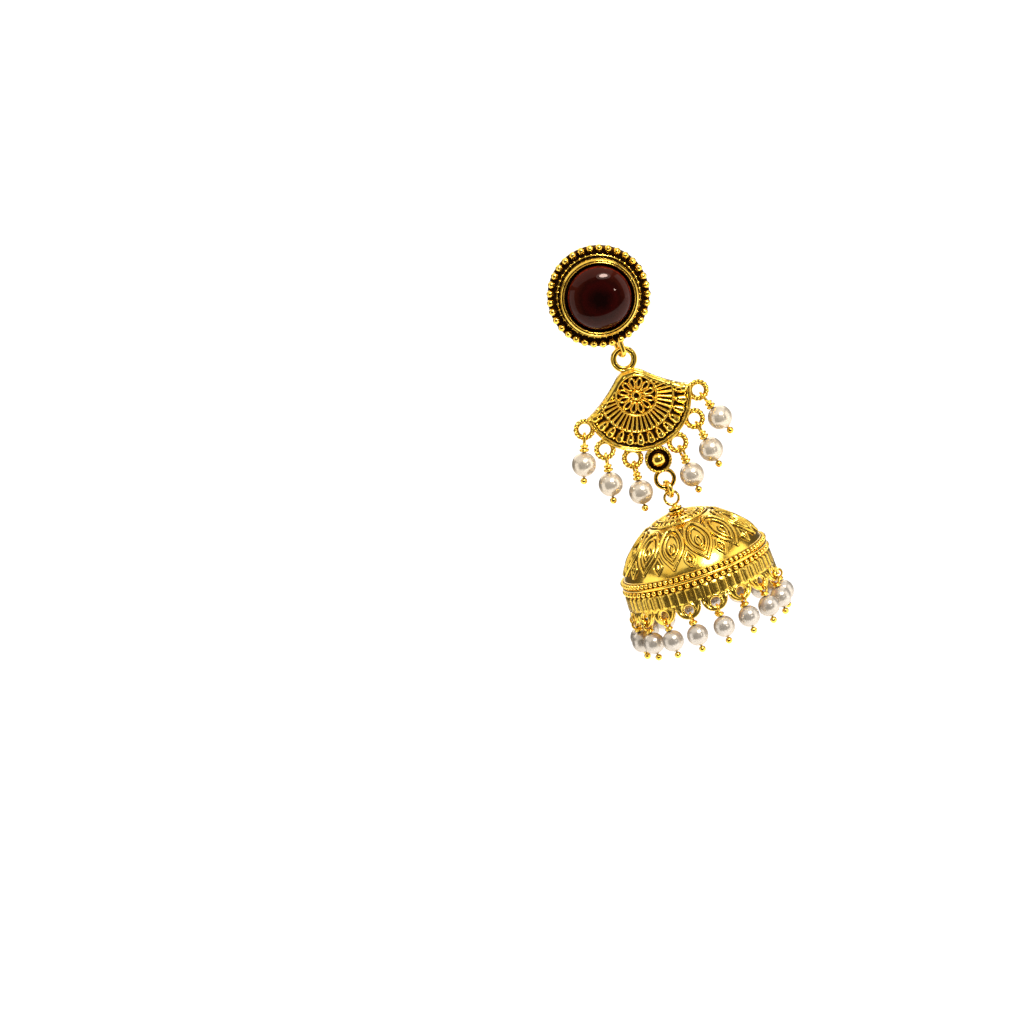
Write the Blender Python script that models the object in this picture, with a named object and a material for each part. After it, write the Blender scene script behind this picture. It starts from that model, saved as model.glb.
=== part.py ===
"""Jhumka earring: a garnet stud, a cast fan hung below it and a bell below that, both with pearl drops.

It hangs from its ear post. The origin is on the post's axis at the back of the stud's disc, +Z is up
and the front faces -Y. Everything below the stud hangs on one upright line behind the disc.
"""

import math

import bmesh
import bpy
from mathutils import Matrix, Vector

MM = 0.001
DEGREE = math.pi / 180

# Clearances
LINK_GAP = 0.15 * MM          # between a wire link and what it hangs on
SEAT_GAP = 0.15 * MM          # between the stone and its cup
BORE_GAP = 0.12 * MM          # between a pin and its pearl
DISC_GAP = 0.45 * MM          # between the upper link and the back of the disc
FUSE = 0.3 * MM               # how far joined metal runs into its neighbour

# Stud
DISC_RADIUS = 10.35 * MM
DISC_THICKNESS = 1.4 * MM
DISC_BACK_BEVEL = 0.6 * MM
RIM_WIDTH = 0.9 * MM
RECESS_DEPTH = 0.6 * MM       # of the floor between the rim and the bezel
STUD_BEADS = 33
STUD_BEAD_MARGIN = 0.22 * MM  # round each bead on the sloping rim
STUD_BEAD_RISE = 0.4 * MM
BEZEL_RADIUS = 7.7 * MM
BEZEL_HEIGHT = 3.1 * MM       # above the recess round it
BEZEL_RIDGE = 0.35 * MM
BEZEL_GROOVE_RADIUS = 7.2 * MM
BEZEL_LIP_RADIUS = 6.65 * MM
CUP_DEPTH = 1.7 * MM
STONE_DOME = 2.5 * MM         # from the girdle to the top
STONE_GIRDLE_RISE = 0.1 * MM  # girdle above the bezel's lip
POST_RADIUS = 0.45 * MM
POST_LENGTH = 11.0 * MM
STAPLE_WIRE = 0.4 * MM        # radius of the wire behind the disc that the upper link hangs on
STAPLE_INSET = 1.45 * MM      # its bar's axis from the disc's lower edge
STAPLE_SIDE_GAP = 0.9 * MM    # leaves the turned link room beside its legs
STAPLE_CORNER_TURN = 22.5 * DEGREE

# Line on which everything hangs
HANG_X = 0.7 * MM             # the staple is soldered this far to one side

# Wire links
UPPER_LINK_WIRE = 0.5 * MM
UPPER_LINK_LENGTH = 5.6 * MM  # between the centres of its end wires
UPPER_LINK_HALF_WIDTH = 1.15 * MM
LOWER_LINK_WIRE = 0.5 * MM
UPPER_LINK_TWIST = 25.0 * DEGREE  # of its plane from straight front to back
LOWER_LINK_TWIST = 15.0 * DEGREE

# Fan
FAN_THICKNESS = 1.2 * MM
FAN_RING_RADIUS = 2.7 * MM
FAN_RING_HOLE = 1.45 * MM
FAN_RING_DEPTH = 1.05 * MM
PLATE_DROP = 8.25 * MM        # from the top ring's centre to the centre of the plate's arc
PLATE_RADIUS = 10.9 * MM
PLATE_CROWN = 5.8 * MM        # top of the plate above the arc's centre
CROWN_HALF_WIDTH = 2.9 * MM
CROWN_BEVEL = 1.0 * MM
SHOULDER_SAG = 0.55 * MM
CORNER_ANGLE = 4.0 * DEGREE   # the arc's ends below its centre
BORDER_WIDTH = 0.9 * MM
BORDER_RISE = 0.4 * MM
RELIEF_RISE = 0.45 * MM
ROSETTE_RISE = 0.6 * MM       # rosette's centre above the arc's centre
ROSETTE_RADIUS = 4.1 * MM
ROSETTE_PETALS = 12
ROSETTE_BOSS = 1.1 * MM
RAY_RING_RADIUS = 7.4 * MM
RAYS = 23
RAY_HALF_WIDTH = 0.25 * MM
RAY_SPREAD = 96.0 * DEGREE    # outermost ray from straight down
RING_RIDGE = 0.35 * MM        # half width of the two ring ridges
TONGUES = 13
TONGUE_PITCH = 13.2 * DEGREE
TONGUE_LENGTH = 2.1 * MM
TONGUE_GAP = 0.35 * MM        # between the ray ring and the tongues
TONGUE_HALF_WIDTH = 0.75 * MM
DROP_RING_RADIUS = 2.2 * MM
DROP_RING_HOLE = 1.15 * MM
DROP_RING_DEPTH = 0.9 * MM
DROP_RING_SINK = 0.75 * MM    # how far each ring runs into the plate's edge
FIRST_DROP_ANGLE = 22.8 * DEGREE
DROP_ANGLE_PITCH = 27.4 * DEGREE
BALL_BOSS_RADIUS = 2.8 * MM
BALL_BOSS_SINK = 0.45 * MM
BALL_BOSS_STEP = 0.15 * MM    # its back and edge stand off the plate's faces by this much
BOSS_BALL_RADIUS = 1.5 * MM
BASE_RING_RADIUS = 2.3 * MM
BASE_RING_HOLE = 1.4 * MM
BASE_RING_DEPTH = 1.0 * MM
BASE_RING_SINK = 0.85 * MM    # how far it runs into the ball's cup

# Splay and twist of the fan's drops, from the middle pair outward
FAN_DROPS = [
    {"splay": 5.0 * DEGREE, "twist": 25.0 * DEGREE},
    {"splay": 9.5 * DEGREE, "twist": 10.0 * DEGREE},
    {"splay": 19.5 * DEGREE, "twist": 0.0},
]

# Bell
EYE_RADIUS = 1.7 * MM
EYE_WIRE = 0.275 * MM
FINIAL_HEIGHT = 2.95 * MM     # from the eye's centre to the crown
COLLAR_RADIUS = 1.75 * MM
COLLAR_HEIGHT = 1.1 * MM
CAP_SPHERE_RADIUS = 15.5 * MM
CAP_HEIGHT = 9.95 * MM
BELL_WALL = 0.8 * MM
BEAD_BAND_HEIGHT = 1.15 * MM
BEAD_BAND_RISE = 0.45 * MM
UPPER_BAND_RADIUS = 14.9 * MM
RIDGE_RADIUS = 15.3 * MM
RIDGE_HEIGHT = 0.6 * MM
LOWER_BAND_RADIUS = 15.0 * MM
SKIRT_HEIGHT = 2.95 * MM
SKIRT_RADIUS = 15.3 * MM
LOBES = 17
LOBE_TURN = 4.9 * DEGREE      # one lobe's centre from the front, towards +X
LOBE_DEPTH = 3.15 * MM
LOBE_RADIUS = 15.6 * MM
LOBE_WALL = 0.6 * MM
LOBE_HOLE_RADIUS = 1.05 * MM
LOBE_HOLE_DROP = 1.3 * MM     # hole's centre below the skirt
EYE_MOTIFS = 12
MOTIF_TURN = -3.5 * DEGREE    # one bud's centre from the front, towards +X
MOTIF_LENGTH = 7.6 * MM
MOTIF_HALF_WIDTH = 2.5 * MM
MOTIF_CENTRE = 11.6 * MM      # along the cap's curve from the crown
MOTIF_RISE = 0.4 * MM
BUD_LENGTH = 2.6 * MM
BUD_HALF_WIDTH = 1.0 * MM
BUD_CENTRE = 15.6 * MM

# Facets round each turned form
WIRE_SIDES = 6
FINE_WIRE_SIDES = 5
PIN_SIDES = 6
POST_SIDES = 8
STONE_SIDES = 24
LINK_SIDES = 12
RING_SIDES = 14
DROP_RING_SIDES = 10
PIN_LOOP_SIDES = 10
ROSETTE_SIDES = 20
BOSS_SIDES = 10
RAY_RING_STEPS = 16
COLLAR_SIDES = 12
PEARL_SIDES = 12
PEARL_RINGS = 4

# Drops: pearls on head pins
FAN_DROP = {
    "pearl_radius": 2.5 * MM,
    "wire_radius": 0.225 * MM,
    "loop_half_width": 0.84 * MM,
    "loop_half_length": 1.2 * MM,
    "neck_radius": 0.85 * MM,
    "neck_height": 1.35 * MM,
    "ball_radius": 0.72 * MM,
}
BELL_DROP = {
    "pearl_radius": 2.2 * MM,
    "wire_radius": 0.2 * MM,
    "loop_half_width": 0.9 * MM,
    "loop_half_length": 0.9 * MM,
    "neck_radius": 0.75 * MM,
    "neck_height": 0.55 * MM,
    "ball_radius": 0.68 * MM,
}

# Heights down the hanging line
STAPLE_DROP = DISC_RADIUS - STAPLE_INSET
UPPER_LINK_TOP = -STAPLE_DROP + STAPLE_WIRE + LINK_GAP + UPPER_LINK_WIRE
UPPER_LINK_BOTTOM = UPPER_LINK_TOP - UPPER_LINK_LENGTH
FAN_RING_Z = UPPER_LINK_BOTTOM + UPPER_LINK_WIRE + LINK_GAP - FAN_RING_HOLE
PLATE_Z = FAN_RING_Z - PLATE_DROP
BALL_BOSS_Z = PLATE_Z - PLATE_RADIUS - BALL_BOSS_RADIUS + BALL_BOSS_SINK
BASE_RING_Z = BALL_BOSS_Z - BALL_BOSS_RADIUS - BASE_RING_RADIUS + BASE_RING_SINK
LOWER_LINK_TOP = BASE_RING_Z - BASE_RING_HOLE + LINK_GAP + LOWER_LINK_WIRE
EYE_Z = BASE_RING_Z - BASE_RING_RADIUS - LINK_GAP - EYE_RADIUS
LOWER_LINK_BOTTOM = EYE_Z + EYE_RADIUS - 2 * EYE_WIRE - LINK_GAP - LOWER_LINK_WIRE
CROWN_Z = EYE_Z - FINIAL_HEIGHT
HANG_Y = UPPER_LINK_HALF_WIDTH + UPPER_LINK_WIRE + DISC_GAP

# Turns the local Z axis to the front
TO_FRONT = Matrix.Rotation(math.pi / 2, 4, "X")


def clear_scene():
    for scene_object in list(bpy.data.objects):
        bpy.data.objects.remove(scene_object, do_unlink=True)


def make_material(name, colour, roughness, metallic):
    material = bpy.data.materials.new(name)
    material.use_nodes = True
    shader = material.node_tree.nodes["Principled BSDF"]
    shader.inputs["Base Color"].default_value = (*colour, 1.0)
    shader.inputs["Roughness"].default_value = roughness
    shader.inputs["Metallic"].default_value = metallic
    return material


def loft(bm, loops, closed=False):
    """Skin a row of point loops; a loop of one point is a pole, and closed joins the last to the first."""
    rings = [[bm.verts.new(point) for point in loop] for loop in loops]
    pairs = list(zip(rings, rings[1:]))
    if closed:
        pairs.append((rings[-1], rings[0]))
    faces = []
    for first, second in pairs:
        count = max(len(first), len(second))
        for i in range(count):
            j = (i + 1) % count
            if len(first) == 1:
                corners = [first[0], second[i], second[j]]
            elif len(second) == 1:
                corners = [first[i], first[j], second[0]]
            else:
                corners = [first[i], first[j], second[j], second[i]]
            faces.append(bm.faces.new(corners))
    return faces


def add_turned(bm, profile, sides, place=Matrix.Identity(4), closed=False):
    """Turn (radius, height) pairs round the local Z axis."""
    loops = []
    for radius, height in profile:
        if radius == 0:
            loops.append([place @ Vector((0, 0, height))])
            continue
        turn = 2 * math.pi / sides
        loops.append([
            place @ Vector((radius * math.cos(i * turn), radius * math.sin(i * turn), height))
            for i in range(sides)
        ])
    return loft(bm, loops, closed)


def add_wire_loop(bm, half_width, half_length, radial, axial, sides, wire_sides, place=Matrix.Identity(4)):
    """Closed oval ring of wire in the local XZ plane, with half circles where it is longer than wide."""
    straight = max(half_length - half_width, 0)
    squash = min(half_length / half_width, 1)
    loops = []
    for i in range(sides):
        turn = 2 * math.pi * i / sides
        outward = Vector((math.cos(turn), 0, math.sin(turn)))
        rise = math.sin(turn)
        shift = straight * (1 if rise > 1e-6 else -1 if rise < -1e-6 else 0)
        middle = Vector((half_width * outward.x, 0, half_width * squash * outward.z + shift))
        loops.append([
            place @ (middle + outward * (radial * math.cos(a)) + Vector((0, axial * math.sin(a), 0)))
            for a in (2 * math.pi * k / wire_sides for k in range(wire_sides))
        ])
    loft(bm, loops, closed=True)


def add_cast_ring(bm, outer, hole, depth, sides, place, wire_sides=WIRE_SIDES):
    """Round cast ring whose hole faces the front."""
    middle = (outer + hole) / 2
    add_wire_loop(bm, middle, middle, (outer - hole) / 2, depth / 2, sides, wire_sides, place)


def add_pad(bm, outline, base, rise, peak, surface):
    """Raised pad: outline points (u, v) carried by surface(u, v, height), with a peak or hollow at peak."""
    centre_u = sum(u for u, v in outline) / len(outline)
    centre_v = sum(v for u, v in outline) / len(outline)
    loft(bm, [
        [surface(centre_u, centre_v, base)],
        [surface(u, v, base) for u, v in outline],
        [surface(u, v, rise) for u, v in outline],
        [surface(centre_u, centre_v, peak)],
    ])


def finish_mesh(name, bm):
    bmesh.ops.recalc_face_normals(bm, faces=bm.faces)
    mesh = bpy.data.meshes.new(name)
    bm.to_mesh(mesh)
    bm.free()
    return mesh


def add_object(name, mesh, material, origin):
    """Object with its origin at a world point, from a mesh given in world coordinates."""
    mesh.transform(Matrix.Translation(-Vector(origin)))
    mesh.shade_smooth()
    mesh.set_sharp_from_angle(angle=35 * DEGREE)
    mesh.materials.clear()
    mesh.materials.append(material)
    result = bpy.data.objects.new(name, mesh)
    bpy.context.scene.collection.objects.link(result)
    result.location = origin
    return result


def fuse_meshes(meshes):
    """Union of closed meshes, one after another, as one mesh."""
    base = bpy.data.objects.new("base", meshes[0])
    bpy.context.scene.collection.objects.link(base)
    for mesh in meshes[1:]:
        tool = bpy.data.objects.new("tool", mesh)
        bpy.context.scene.collection.objects.link(tool)
        union = base.modifiers.new("union", "BOOLEAN")
        union.operation = "UNION"
        union.solver = "EXACT"
        union.object = tool
        depsgraph = bpy.context.evaluated_depsgraph_get()
        fused = bpy.data.meshes.new_from_object(base.evaluated_get(depsgraph))
        base.modifiers.clear()
        base.data = fused
        bpy.data.objects.remove(tool, do_unlink=True)
    result = base.data
    bpy.data.objects.remove(base, do_unlink=True)
    return result


def arc_spread(count, pitch):
    """Angles evenly about zero."""
    return [(i - (count - 1) / 2) * pitch for i in range(count)]


# Stud

BEZEL_BASE = DISC_THICKNESS - RECESS_DEPTH
BEZEL_TOP = BEZEL_BASE + BEZEL_HEIGHT
CUP_FLOOR = BEZEL_TOP - CUP_DEPTH


def make_stud(gold):
    disc = bmesh.new()
    faces = add_turned(disc, [
        (0, 0),
        (DISC_RADIUS - DISC_BACK_BEVEL, 0),
        (DISC_RADIUS, DISC_BACK_BEVEL),
        (DISC_RADIUS - RIM_WIDTH, DISC_THICKNESS),
        (DISC_RADIUS - RIM_WIDTH - RECESS_DEPTH / 4, BEZEL_BASE),
        (BEZEL_RADIUS, BEZEL_BASE),
        (BEZEL_RADIUS - 0.1 * MM, BEZEL_TOP),
        (BEZEL_GROOVE_RADIUS, BEZEL_TOP - BEZEL_RIDGE),
        ((BEZEL_GROOVE_RADIUS + BEZEL_LIP_RADIUS) / 2, BEZEL_TOP + BEZEL_RIDGE / 2),
        (BEZEL_LIP_RADIUS, BEZEL_TOP),
        (BEZEL_LIP_RADIUS, CUP_FLOOR),
        (0, CUP_FLOOR),
    ], STUD_BEADS, TO_FRONT)

    rim = faces[2 * STUD_BEADS:3 * STUD_BEADS]
    bmesh.ops.recalc_face_normals(disc, faces=disc.faces)
    bmesh.ops.inset_individual(disc, faces=rim, thickness=STUD_BEAD_MARGIN, depth=STUD_BEAD_RISE)
    bmesh.ops.poke(disc, faces=rim, offset=STUD_BEAD_RISE / 2)

    post = bmesh.new()
    tip = POST_RADIUS / 2
    add_turned(post, [
        (0, FUSE),
        (POST_RADIUS, FUSE),
        (POST_RADIUS, tip - POST_LENGTH),
        (tip, -POST_LENGTH),
        (0, -POST_LENGTH),
    ], POST_SIDES, TO_FRONT)

    staple = bmesh.new()
    half = UPPER_LINK_WIRE + STAPLE_WIRE + STAPLE_SIDE_GAP
    corner = STAPLE_WIRE
    route = [(-half, -FUSE), (-half, HANG_Y - corner), (-half + corner, HANG_Y),
             (half - corner, HANG_Y), (half, HANG_Y - corner), (half, -FUSE)]
    lean, level = math.sin(STAPLE_CORNER_TURN), math.cos(STAPLE_CORNER_TURN)
    directions = [(0, 1), (lean, level), (level, lean), (level, -lean), (lean, -level), (0, -1)]
    loops = []
    for (x, y), (along_x, along_y) in zip(route, directions):
        side = Vector((along_y, -along_x, 0)).normalized()
        middle = Vector((HANG_X + x, y, -STAPLE_DROP))
        loops.append([
            middle + side * (STAPLE_WIRE * math.cos(a)) + Vector((0, 0, STAPLE_WIRE * math.sin(a)))
            for a in (2 * math.pi * k / WIRE_SIDES for k in range(WIRE_SIDES))
        ])
    start = Vector((HANG_X - half, -FUSE, -STAPLE_DROP))
    end = Vector((HANG_X + half, -FUSE, -STAPLE_DROP))
    loft(staple, [[start]] + loops + [[end]])

    mesh = fuse_meshes([finish_mesh("stud_part", bm) for bm in (disc, post, staple)])
    add_object("stud_setting", mesh, gold, (0, 0, 0))


def make_stone(garnet):
    stone = bmesh.new()
    radius = BEZEL_LIP_RADIUS - SEAT_GAP
    girdle = BEZEL_TOP + STONE_GIRDLE_RISE
    profile = [(0, CUP_FLOOR + SEAT_GAP), (radius, CUP_FLOOR + SEAT_GAP), (radius, girdle)]
    for angle in (22, 45, 68):
        profile.append((radius * math.cos(angle * DEGREE), girdle + STONE_DOME * math.sin(angle * DEGREE)))
    profile.append((0, girdle + STONE_DOME))
    add_turned(stone, profile, STONE_SIDES, TO_FRONT)
    origin = TO_FRONT @ Vector((0, 0, CUP_FLOOR + SEAT_GAP))
    add_object("garnet_cabochon", finish_mesh("garnet_cabochon", stone), garnet, origin)


# Links

def make_link(name, top, bottom, half_width, wire, twist, gold):
    """Wire link in an upright plane, turned by twist from straight front to back."""
    link = bmesh.new()
    middle = Vector((HANG_X, HANG_Y, (top + bottom) / 2))
    place = Matrix.Translation(middle) @ Matrix.Rotation(math.pi / 2 + twist, 4, "Z")
    add_wire_loop(link, half_width, (top - bottom) / 2, wire, wire, LINK_SIDES, WIRE_SIDES, place)
    add_object(name, finish_mesh(name, link), gold, (HANG_X, HANG_Y, top))


# Fan

FAN_FACE_Y = HANG_Y - FAN_THICKNESS / 2


def fan_point(x, z, height):
    """Point on the plate's front: x and z from the arc's centre, height above the face."""
    return Vector((HANG_X + x, FAN_FACE_Y - height, PLATE_Z + z))


def plate_outline(inset=0.0):
    """Outline from the crown's right side, clockwise as seen from the front."""
    radius = PLATE_RADIUS - inset
    corner = Vector((radius * math.cos(CORNER_ANGLE), -radius * math.sin(CORNER_ANGLE)))
    corner.x -= inset
    shoulder = Vector((CROWN_HALF_WIDTH, PLATE_CROWN - CROWN_BEVEL - inset))
    right = [Vector((CROWN_HALF_WIDTH / 2, PLATE_CROWN - inset)), shoulder]
    for share in (0.25, 0.5, 0.75):
        point = shoulder.lerp(corner, share)
        point.y -= SHOULDER_SAG * 4 * share * (1 - share)
        right.append(point)
    right.append(corner)
    steps = 9
    sweep = math.pi / 2 - CORNER_ANGLE
    for i in range(1, steps):
        angle = -CORNER_ANGLE - sweep * i / steps
        right.append(Vector((radius * math.cos(angle), radius * math.sin(angle))))
    left = [Vector((-point.x, point.y)) for point in reversed(right)]
    return right + [Vector((0, -radius))] + left


def add_plate(bm):
    """Slab with a raised border, its edge ridge halfway across the border."""
    back = [fan_point(p.x, p.y, -FAN_THICKNESS) for p in plate_outline()]
    front = [fan_point(p.x, p.y, 0) for p in plate_outline()]
    crest = [fan_point(p.x, p.y, BORDER_RISE) for p in plate_outline(BORDER_WIDTH / 2)]
    inner = [fan_point(p.x, p.y, 0) for p in plate_outline(BORDER_WIDTH)]
    rings = [[bm.verts.new(point) for point in loop] for loop in (back, front, crest, inner)]
    for first, second in zip(rings, rings[1:]):
        for i in range(len(first)):
            j = (i + 1) % len(first)
            bm.faces.new([first[i], first[j], second[j], second[i]])
    bm.faces.new(rings[0])
    bm.faces.new(rings[-1])


def rosette_point(along, across, height, angle):
    """Point of a motif that points away from the rosette's centre, angle from straight down."""
    outward = Vector((math.sin(angle), -math.cos(angle)))
    sideways = Vector((math.cos(angle), math.sin(angle)))
    place = outward * along + sideways * across
    return fan_point(place.x, ROSETTE_RISE + place.y, height)


def radial_surface(angle):
    """Surface for a pad that points away from the rosette's centre at this angle."""
    def point(along, across, height):
        return rosette_point(along, across, height, angle)
    return point


def add_radial_pad(bm, inner, outer, half_width, angle, peak):
    """Pointed oval pad in relief, aimed away from the rosette's centre."""
    length = outer - inner
    outline = [(inner, 0), (inner + 0.35 * length, half_width * 0.75), (inner + 0.75 * length, half_width),
               (outer, 0), (inner + 0.75 * length, -half_width), (inner + 0.35 * length, -half_width * 0.75)]
    add_pad(bm, outline, -FUSE, peak * 0.6, peak, radial_surface(angle))


def add_ray(bm, inner, outer, half_width, angle):
    """Narrow bar with a roof-shaped top."""
    ends = []
    for along in (inner, outer):
        ends.append([
            rosette_point(along, -half_width, -FUSE, angle),
            rosette_point(along, half_width, -FUSE, angle),
            rosette_point(along, 0, RELIEF_RISE, angle),
        ])
    corners = [[bm.verts.new(point) for point in end] for end in ends]
    for i in range(3):
        j = (i + 1) % 3
        bm.faces.new([corners[0][i], corners[0][j], corners[1][j], corners[1][i]])
    bm.faces.new(corners[0])
    bm.faces.new(corners[1])


def add_ridge_ring(bm, radius, sides):
    """Ring of roof-shaped section about the rosette's centre."""
    place = Matrix.Translation(fan_point(0, ROSETTE_RISE, 0)) @ TO_FRONT
    add_turned(bm, [(radius - RING_RIDGE, -FUSE), (radius + RING_RIDGE, -FUSE), (radius, RELIEF_RISE)],
               sides, place, closed=True)


def make_fan(gold):
    plate = bmesh.new()
    add_plate(plate)

    ridges = bmesh.new()
    add_ridge_ring(ridges, ROSETTE_RADIUS, ROSETTE_SIDES)

    relief = bmesh.new()
    place = Matrix.Translation(fan_point(0, ROSETTE_RISE, 0)) @ TO_FRONT
    add_turned(relief, [(0, -FUSE), (ROSETTE_BOSS, -FUSE), (ROSETTE_BOSS, RELIEF_RISE * 0.7),
                        (0, RELIEF_RISE * 1.3)], BOSS_SIDES, place)
    petal_inner = ROSETTE_BOSS + 0.2 * MM
    petal_outer = ROSETTE_RADIUS - RING_RIDGE - 0.15 * MM
    for i in range(ROSETTE_PETALS):
        angle = 2 * math.pi * i / ROSETTE_PETALS
        half_width = 0.75 * math.pi * (petal_inner + petal_outer) / 2 / ROSETTE_PETALS
        outline = [(petal_inner, 0), (petal_inner * 0.35 + petal_outer * 0.65, half_width),
                   (petal_outer, 0), (petal_inner * 0.35 + petal_outer * 0.65, -half_width)]
        add_pad(relief, outline, -FUSE, RELIEF_RISE * 0.4, RELIEF_RISE, radial_surface(angle))
    ray_inner = ROSETTE_RADIUS + RING_RIDGE + 0.1 * MM
    ray_outer = RAY_RING_RADIUS - RING_RIDGE - 0.1 * MM
    for angle in arc_spread(RAYS, 2 * RAY_SPREAD / (RAYS - 1)):
        add_ray(relief, ray_inner, ray_outer, RAY_HALF_WIDTH, angle)
    tongue_inner = RAY_RING_RADIUS + TONGUE_GAP
    for angle in arc_spread(TONGUES, TONGUE_PITCH):
        add_radial_pad(relief, tongue_inner, tongue_inner + TONGUE_LENGTH, TONGUE_HALF_WIDTH, angle,
                       RELIEF_RISE)

    ray_ring = bmesh.new()
    section = [(RAY_RING_RADIUS - RING_RIDGE, -FUSE), (RAY_RING_RADIUS + RING_RIDGE, -FUSE),
               (RAY_RING_RADIUS, RELIEF_RISE)]
    loops = []
    for angle in arc_spread(RAY_RING_STEPS + 1, 2 * RAY_SPREAD / RAY_RING_STEPS):
        loops.append([rosette_point(along, 0, height, angle) for along, height in section])
    rings = [[ray_ring.verts.new(point) for point in loop] for loop in loops]
    for first, second in zip(rings, rings[1:]):
        for i in range(3):
            j = (i + 1) % 3
            ray_ring.faces.new([first[i], first[j], second[j], second[i]])
    ray_ring.faces.new(rings[0])
    ray_ring.faces.new(rings[-1])

    top_ring = bmesh.new()
    add_cast_ring(top_ring, FAN_RING_RADIUS, FAN_RING_HOLE, FAN_RING_DEPTH, RING_SIDES,
                  Matrix.Translation((HANG_X, HANG_Y, FAN_RING_Z)))

    boss = bmesh.new()
    place = Matrix.Translation((HANG_X, HANG_Y, BALL_BOSS_Z)) @ TO_FRONT
    back = BALL_BOSS_STEP - FAN_THICKNESS / 2
    face = FAN_THICKNESS / 2 + BALL_BOSS_STEP
    add_turned(boss, [
        (0, back),
        (BALL_BOSS_RADIUS, back),
        (BALL_BOSS_RADIUS, face),
        (BALL_BOSS_RADIUS - 0.5 * MM, face + BORDER_RISE),
        (BOSS_BALL_RADIUS + 0.1 * MM, face - BORDER_RISE / 2),
        (BOSS_BALL_RADIUS * 0.85, face + BOSS_BALL_RADIUS * 0.55),
        (0, face + BOSS_BALL_RADIUS),
    ], RING_SIDES, place)

    rings = bmesh.new()
    add_cast_ring(rings, BASE_RING_RADIUS, BASE_RING_HOLE, BASE_RING_DEPTH, RING_SIDES,
                  Matrix.Translation((HANG_X, HANG_Y, BASE_RING_Z)))
    for drop in fan_drops():
        add_cast_ring(rings, DROP_RING_RADIUS, DROP_RING_HOLE, DROP_RING_DEPTH, DROP_RING_SIDES,
                      Matrix.Translation(drop["ring"]), FINE_WIRE_SIDES)

    parts = (plate, ridges, ray_ring, relief, top_ring, boss, rings)
    mesh = fuse_meshes([finish_mesh("fan_part", bm) for bm in parts])
    add_object("fan_plate", mesh, gold, (HANG_X, HANG_Y, UPPER_LINK_BOTTOM))


def fan_drops():
    """Ring centre, splay and twist of each of the fan's drops, left to right."""
    reach = PLATE_RADIUS + DROP_RING_RADIUS - DROP_RING_SINK
    drops = []
    for side in (-1, 1):
        for i, row in enumerate(FAN_DROPS):
            angle = FIRST_DROP_ANGLE + i * DROP_ANGLE_PITCH
            ring = Vector((HANG_X + side * reach * math.sin(angle), HANG_Y, PLATE_Z - reach * math.cos(angle)))
            drops.append({"ring": ring, "splay": side * row["splay"], "twist": side * row["twist"]})
    return sorted(drops, key=lambda drop: drop["ring"].x)


# Bell

BAND_TOP_Z = CROWN_Z - CAP_HEIGHT
RIDGE_TOP_Z = BAND_TOP_Z - BEAD_BAND_HEIGHT
LOWER_BAND_TOP_Z = RIDGE_TOP_Z - RIDGE_HEIGHT
SKIRT_TOP_Z = LOWER_BAND_TOP_Z - BEAD_BAND_HEIGHT
SKIRT_BOTTOM_Z = SKIRT_TOP_Z - SKIRT_HEIGHT
FINE = 3 * LOBES


def bell_point(angle, radius, z):
    """Point round the bell's axis; angle from the front towards +X."""
    return Vector((HANG_X + radius * math.sin(angle), HANG_Y - radius * math.cos(angle), z))


def cap_point(angle, along, height):
    """Point on the cap: along its curve from the crown, height above it."""
    radius = CAP_SPHERE_RADIUS + height
    lean = along / CAP_SPHERE_RADIUS
    return bell_point(angle, radius * math.sin(lean), CROWN_Z - CAP_SPHERE_RADIUS + radius * math.cos(lean))


def bell_ring(bm, radius, z, columns):
    start = LOBE_TURN - math.pi / LOBES
    return [bm.verts.new(bell_point(start + 2 * math.pi * i / columns, radius, z)) for i in range(columns)]


def join_rings(bm, first, second):
    """Faces between two rings of the bell; one may have three columns to the other's one."""
    if len(first) > len(second):
        first, second = second, first
    ratio = len(second) // len(first)
    faces = []
    for i in range(len(first)):
        j = (i + 1) % len(first)
        fine = [second[(ratio * i + k) % len(second)] for k in range(ratio + 1)]
        faces.append(bm.faces.new([first[j], first[i]] + fine))
    return faces


def close_ring(bm, ring, z):
    centre = bm.verts.new((HANG_X, HANG_Y, z))
    for i in range(len(ring)):
        bm.faces.new([ring[i], ring[(i + 1) % len(ring)], centre])


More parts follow.
